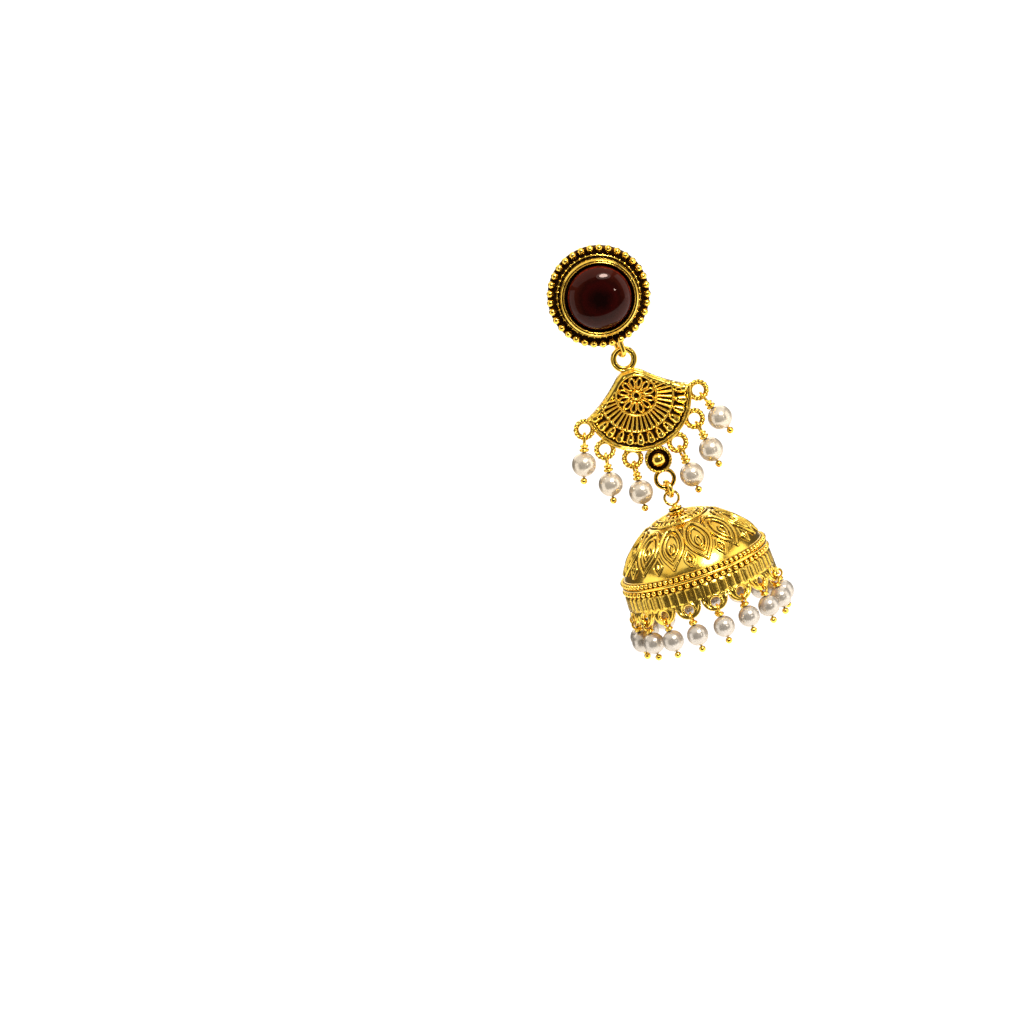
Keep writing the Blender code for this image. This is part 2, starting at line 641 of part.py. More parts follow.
def add_lobes(bm, outer_edge, inner_edge):
    """Rounded lobes below the skirt, each with a round hole, between the skirt's two edges."""
    skirt_columns = FINE // LOBES
    bottom_points = 4
    depth_radius = LOBE_RADIUS - SKIRT_RADIUS
    hole_z = SKIRT_BOTTOM_Z - LOBE_HOLE_DROP

    def lobe_point(centre, across, z, wall):
        drop = (SKIRT_BOTTOM_Z - z) / LOBE_DEPTH
        radius = SKIRT_RADIUS + depth_radius * drop - wall
        return bell_point(centre + across / SKIRT_RADIUS, radius, z)

    half_width = SKIRT_RADIUS * math.pi / LOBES
    for lobe in range(LOBES):
        centre = LOBE_TURN + 2 * math.pi * lobe / LOBES
        edge = [(lobe * skirt_columns + k) % FINE for k in range(skirt_columns + 1)]
        sides = []
        for top_edge, wall in ((outer_edge, 0.0), (inner_edge, LOBE_WALL)):
            outline = [top_edge[i] for i in edge]
            for k in range(1, bottom_points + 1):
                angle = math.pi * k / (bottom_points + 1)
                across = half_width * math.cos(angle)
                z = SKIRT_BOTTOM_Z - LOBE_DEPTH * math.sin(angle)
                outline.append(bm.verts.new(lobe_point(centre, across, z, wall)))
            hole = []
            for k in range(len(outline)):
                angle = math.pi * (0.5 + (skirt_columns / 2 - k) * 2 / len(outline))
                across = LOBE_HOLE_RADIUS * math.cos(angle)
                z = hole_z + LOBE_HOLE_RADIUS * math.sin(angle)
                hole.append(bm.verts.new(lobe_point(centre, across, z, wall)))
            sides.append((outline, hole))
        (outer_outline, outer_hole), (inner_outline, inner_hole) = sides
        count = len(outer_outline)
        for i in range(count):
            j = (i + 1) % count
            bm.faces.new([outer_outline[i], outer_outline[j], outer_hole[j], outer_hole[i]])
            bm.faces.new([inner_outline[i], inner_outline[j], inner_hole[j], inner_hole[i]])
            bm.faces.new([outer_hole[i], outer_hole[j], inner_hole[j], inner_hole[i]])
            if i >= skirt_columns:
                bm.faces.new([outer_outline[i], outer_outline[j], inner_outline[j], inner_outline[i]])


def add_shell(bm):
    """Hollow bell: cap, two bead bands with a ridge between, skirt and lobes."""
    def cap_ring(lean, wall, columns):
        point = cap_point(0, lean * CAP_SPHERE_RADIUS, -wall)
        return bell_ring(bm, HANG_Y - point.y, point.z, columns)

    edge_lean = math.acos(1 - CAP_HEIGHT / CAP_SPHERE_RADIUS)
    outer = [cap_ring(edge_lean * share, 0, LOBES) for share in (0.14, 0.42)]
    outer += [cap_ring(edge_lean * share, 0, FINE) for share in (0.62, 0.8, 1.0)]
    outer.append(bell_ring(bm, UPPER_BAND_RADIUS, RIDGE_TOP_Z, FINE))
    outer.append(bell_ring(bm, RIDGE_RADIUS, (RIDGE_TOP_Z + LOWER_BAND_TOP_Z) / 2, FINE))
    outer.append(bell_ring(bm, LOWER_BAND_RADIUS, LOWER_BAND_TOP_Z, FINE))
    outer.append(bell_ring(bm, LOWER_BAND_RADIUS, SKIRT_TOP_Z, FINE))
    outer.append(bell_ring(bm, SKIRT_RADIUS, SKIRT_BOTTOM_Z, FINE))
    bands = []
    close_ring(bm, outer[0], CROWN_Z)
    for i, (first, second) in enumerate(zip(outer, outer[1:])):
        faces = join_rings(bm, first, second)
        if i in (4, 7):
            bands += faces

    inner = [bell_ring(bm, SKIRT_RADIUS - LOBE_WALL, SKIRT_BOTTOM_Z, FINE)]
    inner.append(bell_ring(bm, LOWER_BAND_RADIUS - BELL_WALL, SKIRT_TOP_Z, LOBES))
    inner += [cap_ring(edge_lean * share, BELL_WALL, LOBES) for share in (0.98, 0.78, 0.5, 0.2)]
    for first, second in zip(inner, inner[1:]):
        join_rings(bm, first, second)
    close_ring(bm, inner[-1], CROWN_Z - BELL_WALL)

    add_lobes(bm, outer[-1], inner[0])
    bmesh.ops.recalc_face_normals(bm, faces=bm.faces)
    bmesh.ops.poke(bm, faces=bands, offset=BEAD_BAND_RISE)


def add_cap_motifs(bm):
    """Pointed drops with a sunk middle round the cap, and small buds between their points."""
    length = MOTIF_LENGTH
    width = MOTIF_HALF_WIDTH
    drop_shape = [(0, -0.5), (0.75, -0.28), (1, 0.02), (0.6, 0.28), (0, 0.5),
                  (-0.6, 0.28), (-1, 0.02), (-0.75, -0.28)]
    bud_shape = [(0, -0.5), (1, 0), (0, 0.5), (-1, 0)]
    for i in range(EYE_MOTIFS):
        turn = MOTIF_TURN + 2 * math.pi * (i + 0.5) / EYE_MOTIFS
        around = CAP_SPHERE_RADIUS * math.sin(MOTIF_CENTRE / CAP_SPHERE_RADIUS)
        outline = [(turn + x * width / around, MOTIF_CENTRE + y * length) for x, y in drop_shape]
        add_pad(bm, outline, -FUSE, MOTIF_RISE, MOTIF_RISE * 0.25, cap_point)
        turn = MOTIF_TURN + 2 * math.pi * i / EYE_MOTIFS
        outline = [(turn + x * BUD_HALF_WIDTH / around, BUD_CENTRE + y * BUD_LENGTH) for x, y in bud_shape]
        add_pad(bm, outline, -FUSE, MOTIF_RISE * 0.4, MOTIF_RISE, cap_point)


def make_dome(gold):
    shell = bmesh.new()
    add_shell(shell)
    motifs = bmesh.new()
    add_cap_motifs(motifs)
    finial = bmesh.new()
    place = Matrix.Translation((HANG_X, HANG_Y, CROWN_Z))
    eye_foot = FINIAL_HEIGHT - EYE_RADIUS + EYE_WIRE
    add_turned(finial, [
        (0, -BELL_WALL / 2),
        (COLLAR_RADIUS, -BELL_WALL / 2),
        (COLLAR_RADIUS, COLLAR_HEIGHT * 0.6),
        (COLLAR_RADIUS * 0.75, COLLAR_HEIGHT),
        (2 * EYE_WIRE, COLLAR_HEIGHT + 0.15 * MM),
        (2 * EYE_WIRE, eye_foot),
        (0, eye_foot),
    ], COLLAR_SIDES, place)
    eye = bmesh.new()
    add_cast_ring(eye, EYE_RADIUS, EYE_RADIUS - 2 * EYE_WIRE, 2 * EYE_WIRE, LINK_SIDES,
                  Matrix.Translation((HANG_X, HANG_Y, EYE_Z)))
    mesh = fuse_meshes([finish_mesh("dome_part", bm) for bm in (shell, motifs, finial, eye)])
    add_object("dome", mesh, gold, (HANG_X, HANG_Y, LOWER_LINK_BOTTOM))


# Drops

def drop_heights(sizes, hole_radius):
    """Heights in a drop's own frame, whose origin is the centre of the hole it hangs in."""
    loop_top = -hole_radius + LINK_GAP + sizes["wire_radius"]
    loop_bottom = loop_top - 2 * sizes["loop_half_length"]
    neck_bottom = loop_bottom - sizes["neck_height"]
    pearl = neck_bottom - BORE_GAP - sizes["pearl_radius"]
    ball = pearl - sizes["pearl_radius"] - BORE_GAP - sizes["ball_radius"]
    return {"loop": (loop_top + loop_bottom) / 2, "neck_top": loop_bottom, "neck_bottom": neck_bottom,
            "pearl": pearl, "ball": ball}


def pin_mesh(sizes, heights):
    """Head pin: wire loop, wrapped neck, shaft through the pearl and end ball."""
    wire = sizes["wire_radius"]
    stem = bmesh.new()
    neck = sizes["neck_radius"]
    ball = sizes["ball_radius"]
    add_turned(stem, [
        (0, heights["neck_top"] + wire * 0.4),
        (neck * 0.85, heights["neck_top"] - wire * 0.2),
        (neck, heights["neck_bottom"]),
        (wire, heights["neck_bottom"] - BORE_GAP * 0.4),
        (wire, heights["ball"] + ball * 0.9),
        (ball * 0.87, heights["ball"] + ball * 0.5),
        (ball * 0.87, heights["ball"] - ball * 0.5),
        (0, heights["ball"] - ball),
    ], PIN_SIDES)
    loop = bmesh.new()
    add_wire_loop(loop, sizes["loop_half_width"], sizes["loop_half_length"], wire, wire,
                  PIN_LOOP_SIDES, FINE_WIRE_SIDES, Matrix.Translation((0, 0, heights["loop"])))
    return fuse_meshes([finish_mesh("pin_part", bm) for bm in (stem, loop)])


def pearl_mesh(sizes, heights):
    """Drilled pearl."""
    bore = sizes["wire_radius"] + BORE_GAP
    radius = sizes["pearl_radius"]
    pole = math.asin(bore / radius)
    profile = []
    for i in range(PEARL_RINGS + 1):
        angle = pole + (math.pi - 2 * pole) * i / PEARL_RINGS
        profile.append((radius * math.sin(angle), heights["pearl"] + radius * math.cos(angle)))
    pearl = bmesh.new()
    add_turned(pearl, profile, PEARL_SIDES, closed=True)
    return finish_mesh("pearl_part", pearl)


def add_drop(pearl_name, pin_name, pearl_shape, pin_shape, place, materials):
    """One pearl and its pin, hung at place."""
    for name, shape, material in ((pearl_name, pearl_shape, materials["pearl"]),
                                  (pin_name, pin_shape, materials["gold"])):
        mesh = shape.copy()
        mesh.transform(place)
        add_object(name, mesh, material, place.translation)


def make_fan_drops(materials):
    heights = drop_heights(FAN_DROP, DROP_RING_HOLE)
    pearl_shape = pearl_mesh(FAN_DROP, heights)
    pin_shape = pin_mesh(FAN_DROP, heights)
    for number, drop in enumerate(fan_drops(), 1):
        place = (Matrix.Translation(drop["ring"]) @ Matrix.Rotation(-drop["splay"], 4, "Y")
                 @ Matrix.Rotation(math.pi / 2 + drop["twist"], 4, "Z"))
        add_drop(f"fan_pearl_{number}", f"fan_pin_{number}", pearl_shape, pin_shape, place, materials)


def make_bell_drops(materials):
    heights = drop_heights(BELL_DROP, LOBE_HOLE_RADIUS)
    pearl_shape = pearl_mesh(BELL_DROP, heights)
    pin_shape = pin_mesh(BELL_DROP, heights)
    share = (LOBE_HOLE_DROP + LOBE_HOLE_RADIUS) / LOBE_DEPTH
    radius = SKIRT_RADIUS + (LOBE_RADIUS - SKIRT_RADIUS) * share - LOBE_WALL / 2
    for lobe in range(LOBES):
        turn = LOBE_TURN + 2 * math.pi * lobe / LOBES
        place = (Matrix.Translation(bell_point(turn, radius, SKIRT_BOTTOM_Z - LOBE_HOLE_DROP))
                 @ Matrix.Rotation(math.pi / 2 + turn, 4, "Z"))
        number = f"{lobe + 1:02d}"
        add_drop(f"dome_pearl_{number}", f"dome_pin_{number}", pearl_shape, pin_shape, place, materials)


def main():
    clear_scene()
    materials = {
        "gold": make_material("antique_gold", (0.69, 0.44, 0.12), 0.28, 1.0),
        "garnet": make_material("garnet", (0.13, 0.008, 0.01), 0.06, 0.0),
        "pearl": make_material("pearl", (0.86, 0.80, 0.71), 0.22, 0.0),
    }
    gold = materials["gold"]
    make_stud(gold)
    make_stone(materials["garnet"])
    make_link("upper_link", UPPER_LINK_TOP, UPPER_LINK_BOTTOM, UPPER_LINK_HALF_WIDTH, UPPER_LINK_WIRE,
              UPPER_LINK_TWIST, gold)
    make_fan(gold)
    make_fan_drops(materials)
    lower_half = (LOWER_LINK_TOP - LOWER_LINK_BOTTOM) / 2
    make_link("lower_link", LOWER_LINK_TOP, LOWER_LINK_BOTTOM, lower_half, LOWER_LINK_WIRE,
              LOWER_LINK_TWIST, gold)
    make_dome(gold)
    make_bell_drops(materials)


main()
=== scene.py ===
import math

import bmesh
import bpy
import numpy as np
from mathutils import Matrix, Vector


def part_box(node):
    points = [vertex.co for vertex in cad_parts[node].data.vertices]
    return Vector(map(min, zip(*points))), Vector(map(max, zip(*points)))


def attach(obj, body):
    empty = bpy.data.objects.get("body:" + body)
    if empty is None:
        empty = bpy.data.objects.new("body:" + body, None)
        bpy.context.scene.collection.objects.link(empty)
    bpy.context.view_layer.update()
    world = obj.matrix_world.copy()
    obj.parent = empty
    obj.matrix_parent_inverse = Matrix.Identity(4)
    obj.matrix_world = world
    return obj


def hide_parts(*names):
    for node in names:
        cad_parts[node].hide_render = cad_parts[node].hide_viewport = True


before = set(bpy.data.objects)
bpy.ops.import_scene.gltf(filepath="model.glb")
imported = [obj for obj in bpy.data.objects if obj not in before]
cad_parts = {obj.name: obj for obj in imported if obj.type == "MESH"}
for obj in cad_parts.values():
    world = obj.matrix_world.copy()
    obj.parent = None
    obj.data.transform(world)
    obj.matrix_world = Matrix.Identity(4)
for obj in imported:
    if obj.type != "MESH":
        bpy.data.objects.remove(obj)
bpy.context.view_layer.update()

# Lengths are in millimetres until a mesh or a light is made, and angles in degrees where a name says so.
MM = 0.001


def node_box(name):
    low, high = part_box(name)
    return np.array(low) / MM, np.array(high) / MM


# Places from the frame
link_low, link_high = node_box("upper_link")
lower_low, lower_high = node_box("lower_link")
HANG = (link_low + link_high)[:2] / 2
WIRE = 0.5
LINK_GAP = 0.15
UPPER_LINK_TWIST = 25.0      # degrees from straight front to back
LOWER_LINK_TWIST = 15.0
UPPER_LINK_BOTTOM = link_low[2] + WIRE
LOWER_LINK_BOTTOM = lower_low[2] + WIRE


# Shapes

class Shape:
    """Points, faces and one darkening value per point, in millimetres: patina depth on the gold, with painted dark
    reflection on the skirt's tongues, and the stone's share of its radius for its painted inner light.
    """

    def __init__(self):
        self.points, self.faces, self.patina_and_painted_light = [], [], []
        self.count = 0

    def add(self, grid, patina_and_painted_light=0.0, wrap_rows=False, wrap_columns=False, place=None):
        """Add a grid of points (rows, columns, 3) as a sheet, moved by place."""
        rows, columns = grid.shape[:2]
        points = grid.reshape(-1, 3)
        if place is not None:
            turn = np.array(place.to_3x3())
            points = points @ turn.T + np.array(place.translation)
        r, c = np.meshgrid(np.arange(rows - (not wrap_rows)), np.arange(columns - (not wrap_columns)),
                           indexing="ij")
        r_next, c_next = (r + 1) % rows, (c + 1) % columns
        corners = [r * columns + c, r * columns + c_next, r_next * columns + c_next, r_next * columns + c]
        self.faces.append(np.stack(corners, -1).reshape(-1, 4) + self.count)
        self.points.append(points)
        self.patina_and_painted_light.append(np.broadcast_to(patina_and_painted_light, (rows, columns)).reshape(-1))
        self.count += len(points)

    def make(self, name, material, body, replaced=()):
        """The piece as an object that rides on its body."""
        mesh = bpy.data.meshes.new(name)
        mesh.from_pydata(np.concatenate(self.points) * MM, [], np.concatenate(self.faces).tolist())
        attribute = mesh.attributes.new("patina_and_painted_light", "FLOAT", "POINT")
        attribute.data.foreach_set("value", np.concatenate(self.patina_and_painted_light).astype(np.float32))
        bm = bmesh.new()
        bm.from_mesh(mesh)
        bmesh.ops.remove_doubles(bm, verts=bm.verts, dist=0.002 * MM)
        bmesh.ops.recalc_face_normals(bm, faces=bm.faces)
        bm.to_mesh(mesh)
        bm.free()
        mesh.shade_smooth()
        mesh.materials.append(material)
        piece = bpy.data.objects.new(name, mesh)
        bpy.context.scene.collection.objects.link(piece)
        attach(piece, body)
        if replaced:
            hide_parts(*replaced)
        return piece


def at(x, y, z):
    return Matrix.Translation((x, y, z))


TO_FRONT = Matrix.Rotation(math.pi / 2, 4, "X")     # turns the local Z axis to the front


def turned(profile, sides):
    """Grid of points: a profile of (radius, height) turned round the local Z axis."""
    profile = np.array(profile, float)
    turn = np.linspace(0, 2 * np.pi, sides, endpoint=False)
    radius = np.repeat(profile[:, :1], sides, 1)
    height = np.repeat(profile[:, 1:], sides, 1)
    return np.stack([radius * np.cos(turn), radius * np.sin(turn), height], -1)


def soften(line, rounds=2, closed=False):
    """Cut the corners of a line of points, keeping its ends if it is open."""
    line = np.array(line, float)
    for _ in range(rounds):
        after = np.roll(line, -1, 0) if closed else line[1:]
        before = line if closed else line[:-1]
        cut = np.stack([0.75 * before + 0.25 * after, 0.25 * before + 0.75 * after], 1).reshape(-1, line.shape[1])
        line = cut if closed else np.concatenate([line[:1], cut, line[-1:]])
    return line


def circle(radius, steps, height=0.0):
    """Closed path round the local Z axis."""
    turn = 2 * np.pi * np.arange(steps) / steps
    return np.stack([radius * np.cos(turn), radius * np.sin(turn), np.full(steps, height)], 1)


def tube(path, radius, sides=12, closed=False):
    """Grid of points round a path; radius may be one value, or one for each point."""
    path = np.array(path, float)
    ahead = np.roll(path, -1, 0) - np.roll(path, 1, 0)
    if not closed:
        ahead[0], ahead[-1] = path[1] - path[0], path[-1] - path[-2]
    ahead /= np.linalg.norm(ahead, axis=1)[:, None]
    side = np.cross(ahead[0], np.eye(3)[np.argmin(np.abs(ahead[0]))])
    radius = np.broadcast_to(radius, len(path))
    turn = np.linspace(0, 2 * np.pi, sides, endpoint=False)[:, None]
    rings = []
    for point, along, size in zip(path, ahead, radius):
        side = side - along * (side @ along)
        side /= np.linalg.norm(side)
        rings.append(point + size * (np.cos(turn) * side + np.sin(turn) * np.cross(along, side)))
    return np.array(rings)


def ball(radius, rows=12, columns=18, squash=1.0):
    lean = np.linspace(0, np.pi, rows + 1)
    return turned(np.stack([radius * np.sin(lean), radius * squash * np.cos(lean)], 1), columns)


def oval(half_width, half_length, steps):
    """Closed path in the local XZ plane: two half circles joined by straight sides."""
    straight = max(half_length - half_width, 0)
    squash = min(half_length / half_width, 1)
    turn = 2 * np.pi * (np.arange(steps) + 0.5) / steps
    return np.stack([half_width * np.cos(turn), np.zeros(steps),
                     half_width * squash * np.sin(turn) + straight * np.sign(np.sin(turn))], 1)


def ridge(distance, half_width):
    """Round-topped rise: 1 on the line and 0 from half_width out."""
    return np.sqrt(np.clip(1 - (distance / half_width) ** 2, 0, 1))


def smooth_step(low, high, value):
    share = np.clip((value - low) / (high - low), 0, 1)
    return share * share * (3 - 2 * share)


def path_distance(x, y, path, closed=False):
    """Distance from each point (x, y) to a path, and the path's segment that is nearest."""
    path = np.array(path, float)
    if closed:
        path = np.concatenate([path, path[:1]])
    best = np.full(x.shape, np.inf)
    nearest = np.zeros(x.shape, int)
    for i, (start, end) in enumerate(zip(path, path[1:])):
        run = end - start
        share = np.clip(((x - start[0]) * run[0] + (y - start[1]) * run[1]) / max(run @ run, 1e-12), 0, 1)
        distance = np.hypot(x - start[0] - share * run[0], y - start[1] - share * run[1])
        nearest = np.where(distance < best, i, nearest)
        best = np.minimum(best, distance)
    return best, nearest


# Materials

class Nodes:
    """Short calls for building one material."""

    def __init__(self, name):
        self.material = bpy.data.materials.new(name)
        self.material.use_nodes = True
        self.tree = self.material.node_tree
        self.shader = self.tree.nodes["Principled BSDF"]

    def node(self, kind, **inputs):
        made = self.tree.nodes.new(kind)
        for key, value in inputs.items():
            socket = made.inputs[key.replace("_", " ")]
            if isinstance(value, bpy.types.NodeSocket):
                self.tree.links.new(value, socket)
            else:
                socket.default_value = value
        return made

    def link(self, output, key):
        self.tree.links.new(output, self.shader.inputs[key])

    def place(self):
        return self.node("ShaderNodeTexCoord").outputs["Object"]

    def noise(self, per_mm, detail=3.0, roughness=0.5):
        made = self.node("ShaderNodeTexNoise", Vector=self.place(), Scale=per_mm / MM, Detail=detail,
                         Roughness=roughness)
        return made.outputs["Fac"]

    def ramp(self, factor, stops):
        """Colour ramp from (position, colour) stops."""
        made = self.node("ShaderNodeValToRGB", Fac=factor)
        elements = made.color_ramp.elements
        while len(elements) < len(stops):
            elements.new(0.5)
        for element, (position, colour) in zip(elements, stops):
            element.position = position
            element.color = (*colour, 1.0)
        return made.outputs["Color"]

    def spread(self, factor, low, high, from_low=0.3, from_high=0.7):
        made = self.node("ShaderNodeMapRange", Value=factor)
        for key, value in (("From Min", from_low), ("From Max", from_high), ("To Min", low), ("To Max", high)):
            made.inputs[key].default_value = value
        return made.outputs["Result"]

    def mix(self, factor, first, second):
        made = self.tree.nodes.new("ShaderNodeMix")
        made.data_type = "RGBA"
        sockets = [made.inputs[0], made.inputs[6], made.inputs[7]]
        for socket, value in zip(sockets, (factor, first, second)):
            if isinstance(value, bpy.types.NodeSocket):
                self.tree.links.new(value, socket)
            else:
                socket.default_value = (*value, 1.0) if isinstance(value, tuple) else value
        return made.outputs[2]

    def math(self, operation, first, second):
        made = self.tree.nodes.new("ShaderNodeMath")
        made.operation = operation
        for socket, value in zip(made.inputs, (first, second)):
            if isinstance(value, bpy.types.NodeSocket):
                self.tree.links.new(value, socket)
            else:
                socket.default_value = value
        return made.outputs[0]

    def bump(self, height, distance_mm, strength):
        made = self.node("ShaderNodeBump", Height=height, Strength=strength, Distance=distance_mm * MM)
        self.link(made.outputs["Normal"], "Normal")


def gold_material():
    gold = Nodes("antique_gold_finish")
    # The stored value darkens the gold toward near black (0.03, 0.012, 0.003): mostly patina in its hollows, but
    # painted dark reflection on the bell skirt's tongues.
    patina_and_painted_light = gold.node("ShaderNodeAttribute")
    patina_and_painted_light.attribute_name = "patina_and_painted_light"
    broad = gold.noise(0.35, 3.0)
    fine = gold.noise(3.0, 4.0, 0.6)
    metal = gold.ramp(broad, [(0.3, (0.86, 0.51, 0.055)), (0.7, (0.96, 0.65, 0.11))])
    uneven = gold.math("ADD", patina_and_painted_light.outputs["Fac"], gold.spread(fine, -0.18, 0.18))
    dark = gold.spread(uneven, 0.0, 1.0, 0.25, 0.75)
    gold.link(gold.mix(dark, metal, (0.03, 0.012, 0.003)), "Base Color")
    gold.link(gold.math("ADD", gold.spread(fine, 0.12, 0.24), gold.math("MULTIPLY", dark, 0.3)), "Roughness")
    gold.shader.inputs["Metallic"].default_value = 1.0
    gold.bump(gold.noise(1.6, 4.0, 0.55), 0.04, 0.3)
    return gold.material


def garnet_material():
    garnet = Nodes("garnet_finish")
    # The value read here is the stone's distance from its centre as a share of its radius; the colours drawn from it
    # paint the light inside the stone.
    reach = garnet.node("ShaderNodeAttribute")
    reach.attribute_name = "patina_and_painted_light"
    cloud = garnet.spread(garnet.noise(0.6, 3.0, 0.6), -0.06, 0.06)
    depth = garnet.math("ADD", reach.outputs["Fac"], cloud)
    # Near black in the middle is the stone's own colour; the faint red ring at 0.5 is painted inner reflection, and
    # the brownish outer band at 0.9 is painted reflection.
    body = garnet.ramp(depth, [(0.2, (0.003, 0.0003, 0.0003)), (0.5, (0.016, 0.0008, 0.0006)),
                               (0.62, (0.01, 0.001, 0.0006)), (0.9, (0.03, 0.004, 0.0018))])
    # Painted glow: a bright red rim just inside the edge, broken by noise, standing in for light coming through the
    # stone.
    glow = garnet.spread(garnet.noise(1.8, 2.0), 0.0, 1.0, 0.35, 0.6)
    edge = garnet.math("MULTIPLY", garnet.spread(reach.outputs["Fac"], 0.0, 1.0, 0.96, 0.98), glow)
    garnet.link(garnet.mix(edge, body, (0.14, 0.012, 0.004)), "Base Color")
    garnet.link(garnet.spread(garnet.noise(1.5), 0.03, 0.06), "Roughness")
    garnet.shader.inputs["Specular IOR Level"].default_value = 0.16
    garnet.shader.inputs["Specular Tint"].default_value = (1.0, 0.72, 0.62, 1.0)
    garnet.bump(garnet.noise(0.4, 2.0), 0.01, 0.03)
    return garnet.material


def pearl_material(name, light, deep):
    pearl = Nodes(name)
    cloud = pearl.noise(0.45, 4.0, 0.55)
    pearl.link(pearl.ramp(cloud, [(0.3, deep), (0.7, light)]), "Base Color")
    pearl.link(pearl.spread(pearl.noise(2.5), 0.2, 0.28), "Roughness")
    shader = pearl.shader.inputs
    shader["Metallic"].default_value = 0.58
    shader["Specular IOR Level"].default_value = 0.2
    shader["Specular Tint"].default_value = (0.85, 0.68, 0.5, 1.0)
    shader["Coat Weight"].default_value = 0.35
    shader["Coat Roughness"].default_value = 0.1
    pearl.bump(pearl.noise(1.2, 3.0), 0.015, 0.2)
    return pearl.material


GOLD = gold_material()
GARNET = garnet_material()
FAN_PEARL = pearl_material("fan_pearl_finish", (0.63, 0.55, 0.44), (0.55, 0.46, 0.34))
BELL_PEARL = pearl_material("bell_pearl_finish", (0.54, 0.48, 0.41), (0.46, 0.40, 0.32))


# Stud

STUD_BEADS = 33
STUD_BEAD = 0.74
STUD_BEAD_REACH = 9.74
STUD_BEAD_HEIGHT = 1.15
LINE_REACH = 8.25            # the fine ring between the beads and the bezel, crossed by the ticks
LINE_HEIGHT = 0.9
LINE_WIRE = 0.18
TICKS = 44
BEZEL_GROOVE = 7.42
BEZEL_INSIDE = 6.9
POST_RADIUS = 0.45
POST_LENGTH = 11.0
STAPLE_Z = -8.9
STAPLE_HALF_WIDTH = 1.8
STAPLE_WIRE = 0.4
CUP_FLOOR = 2.2
GIRDLE = 4.0
VISIBLE_STONE = 6.38
STONE_DOME = 2.5


def make_stud():
    stud = Shape()
    profile = np.array([
        (0, 0), (9.5, 0), (10.05, 0.1), (10.3, 0.45), (10.05, 0.75), (9.4, 0.95), (8.95, 0.7), (7.92, 0.7),
        (7.88, 0.8), (7.88, 3.3), (7.86, 3.5), (7.58, 3.92), (7.46, 3.85), (BEZEL_GROOVE, 3.45), (7.38, 3.6),
        (7.16, 3.9), (7.0, 3.8), (6.92, 3.45), (BEZEL_INSIDE, CUP_FLOOR), (0, CUP_FLOOR),
    ])
    outline = soften(profile, 3)
    radius, height = outline[:, :1], outline[:, 1:]
    recess = smooth_step(7.8, 7.88, radius) * smooth_step(0.45, 0.6, height) * smooth_step(3.2, 2.4, height)
    inside = smooth_step(6.99, 6.93, radius) * smooth_step(1.0, 2.0, height)
    groove = ridge(radius - BEZEL_GROOVE, 0.1) * smooth_step(3.0, 3.3, height)
    stud.add(turned(outline, 192), np.maximum(np.maximum(recess, inside), groove * 0.7), wrap_columns=True,
             place=TO_FRONT)

    for i in range(STUD_BEADS):
        turn = 2 * np.pi * (i + 0.5) / STUD_BEADS
        bead = TO_FRONT @ at(STUD_BEAD_REACH * np.cos(turn), STUD_BEAD_REACH * np.sin(turn), STUD_BEAD_HEIGHT)
        stud.add(ball(STUD_BEAD, 14, 20), wrap_columns=True, place=bead)

    stud.add(tube(circle(LINE_REACH, 128, LINE_HEIGHT), LINE_WIRE, 8, True), wrap_rows=True, wrap_columns=True,
             place=TO_FRONT)
    tick = tube([(-0.36, 0, -0.14), (-0.26, 0, 0), (0.26, 0, 0), (0.36, 0, -0.14)], [0.06, 0.15, 0.15, 0.06], 8)
    for i in range(TICKS):
        across_line = TO_FRONT @ Matrix.Rotation(2 * np.pi * i / TICKS, 4, "Z") @ at(LINE_REACH, 0, LINE_HEIGHT + 0.12)
        stud.add(tick, wrap_columns=True, place=across_line)

    post = soften([(0, 0.3), (POST_RADIUS, 0.3), (POST_RADIUS, 0.4 - POST_LENGTH), (0.3, 0.05 - POST_LENGTH),
                   (0, -POST_LENGTH)], 2)
    stud.add(turned(post, 24), 0.0, wrap_columns=True, place=TO_FRONT)
    half = STAPLE_HALF_WIDTH
    route = soften([(-half, -0.3, 0), (-half, HANG[1], 0), (half, HANG[1], 0), (half, -0.3, 0)], 4)
    stud.add(tube(route, STAPLE_WIRE, 16), wrap_columns=True, place=at(HANG[0], 0, STAPLE_Z))
    stud.make("stud_metal", GOLD, "stud", ["stud_setting"])

    stone = Shape()
    lean = np.linspace(0, np.pi / 2, 28)
    dome = np.stack([VISIBLE_STONE * np.cos(lean), GIRDLE - 0.35 + (STONE_DOME + 0.35) * np.sin(lean)], 1)
    base = [(0, CUP_FLOOR + 0.15), (VISIBLE_STONE, CUP_FLOOR + 0.15), (VISIBLE_STONE, GIRDLE - 0.45)]
    profile = np.concatenate([base, dome])
    # Each point's share of the stone's radius is stored for the stone's painted inner light and rim glow.
    stone.add(turned(profile, 96), profile[:, :1] / VISIBLE_STONE, wrap_columns=True, place=TO_FRONT)
    stone.make("garnet_stone", GARNET, "stud", ["garnet_cabochon"])


UPPER_LINK_HALF_WIDTH = 1.15


def make_link(name, low, high, half_width, twist, node, body):
    centre = (low + high) / 2
    half_length = (high[2] - low[2]) / 2 - WIRE
    link = Shape()
    place = at(*centre) @ Matrix.Rotation(math.radians(90 + twist), 4, "Z")
    link.add(tube(oval(half_width, half_length, 72), WIRE, 24, True), wrap_rows=True, wrap_columns=True,
             place=place)
    link.make(name, GOLD, body, [node])


# Fan

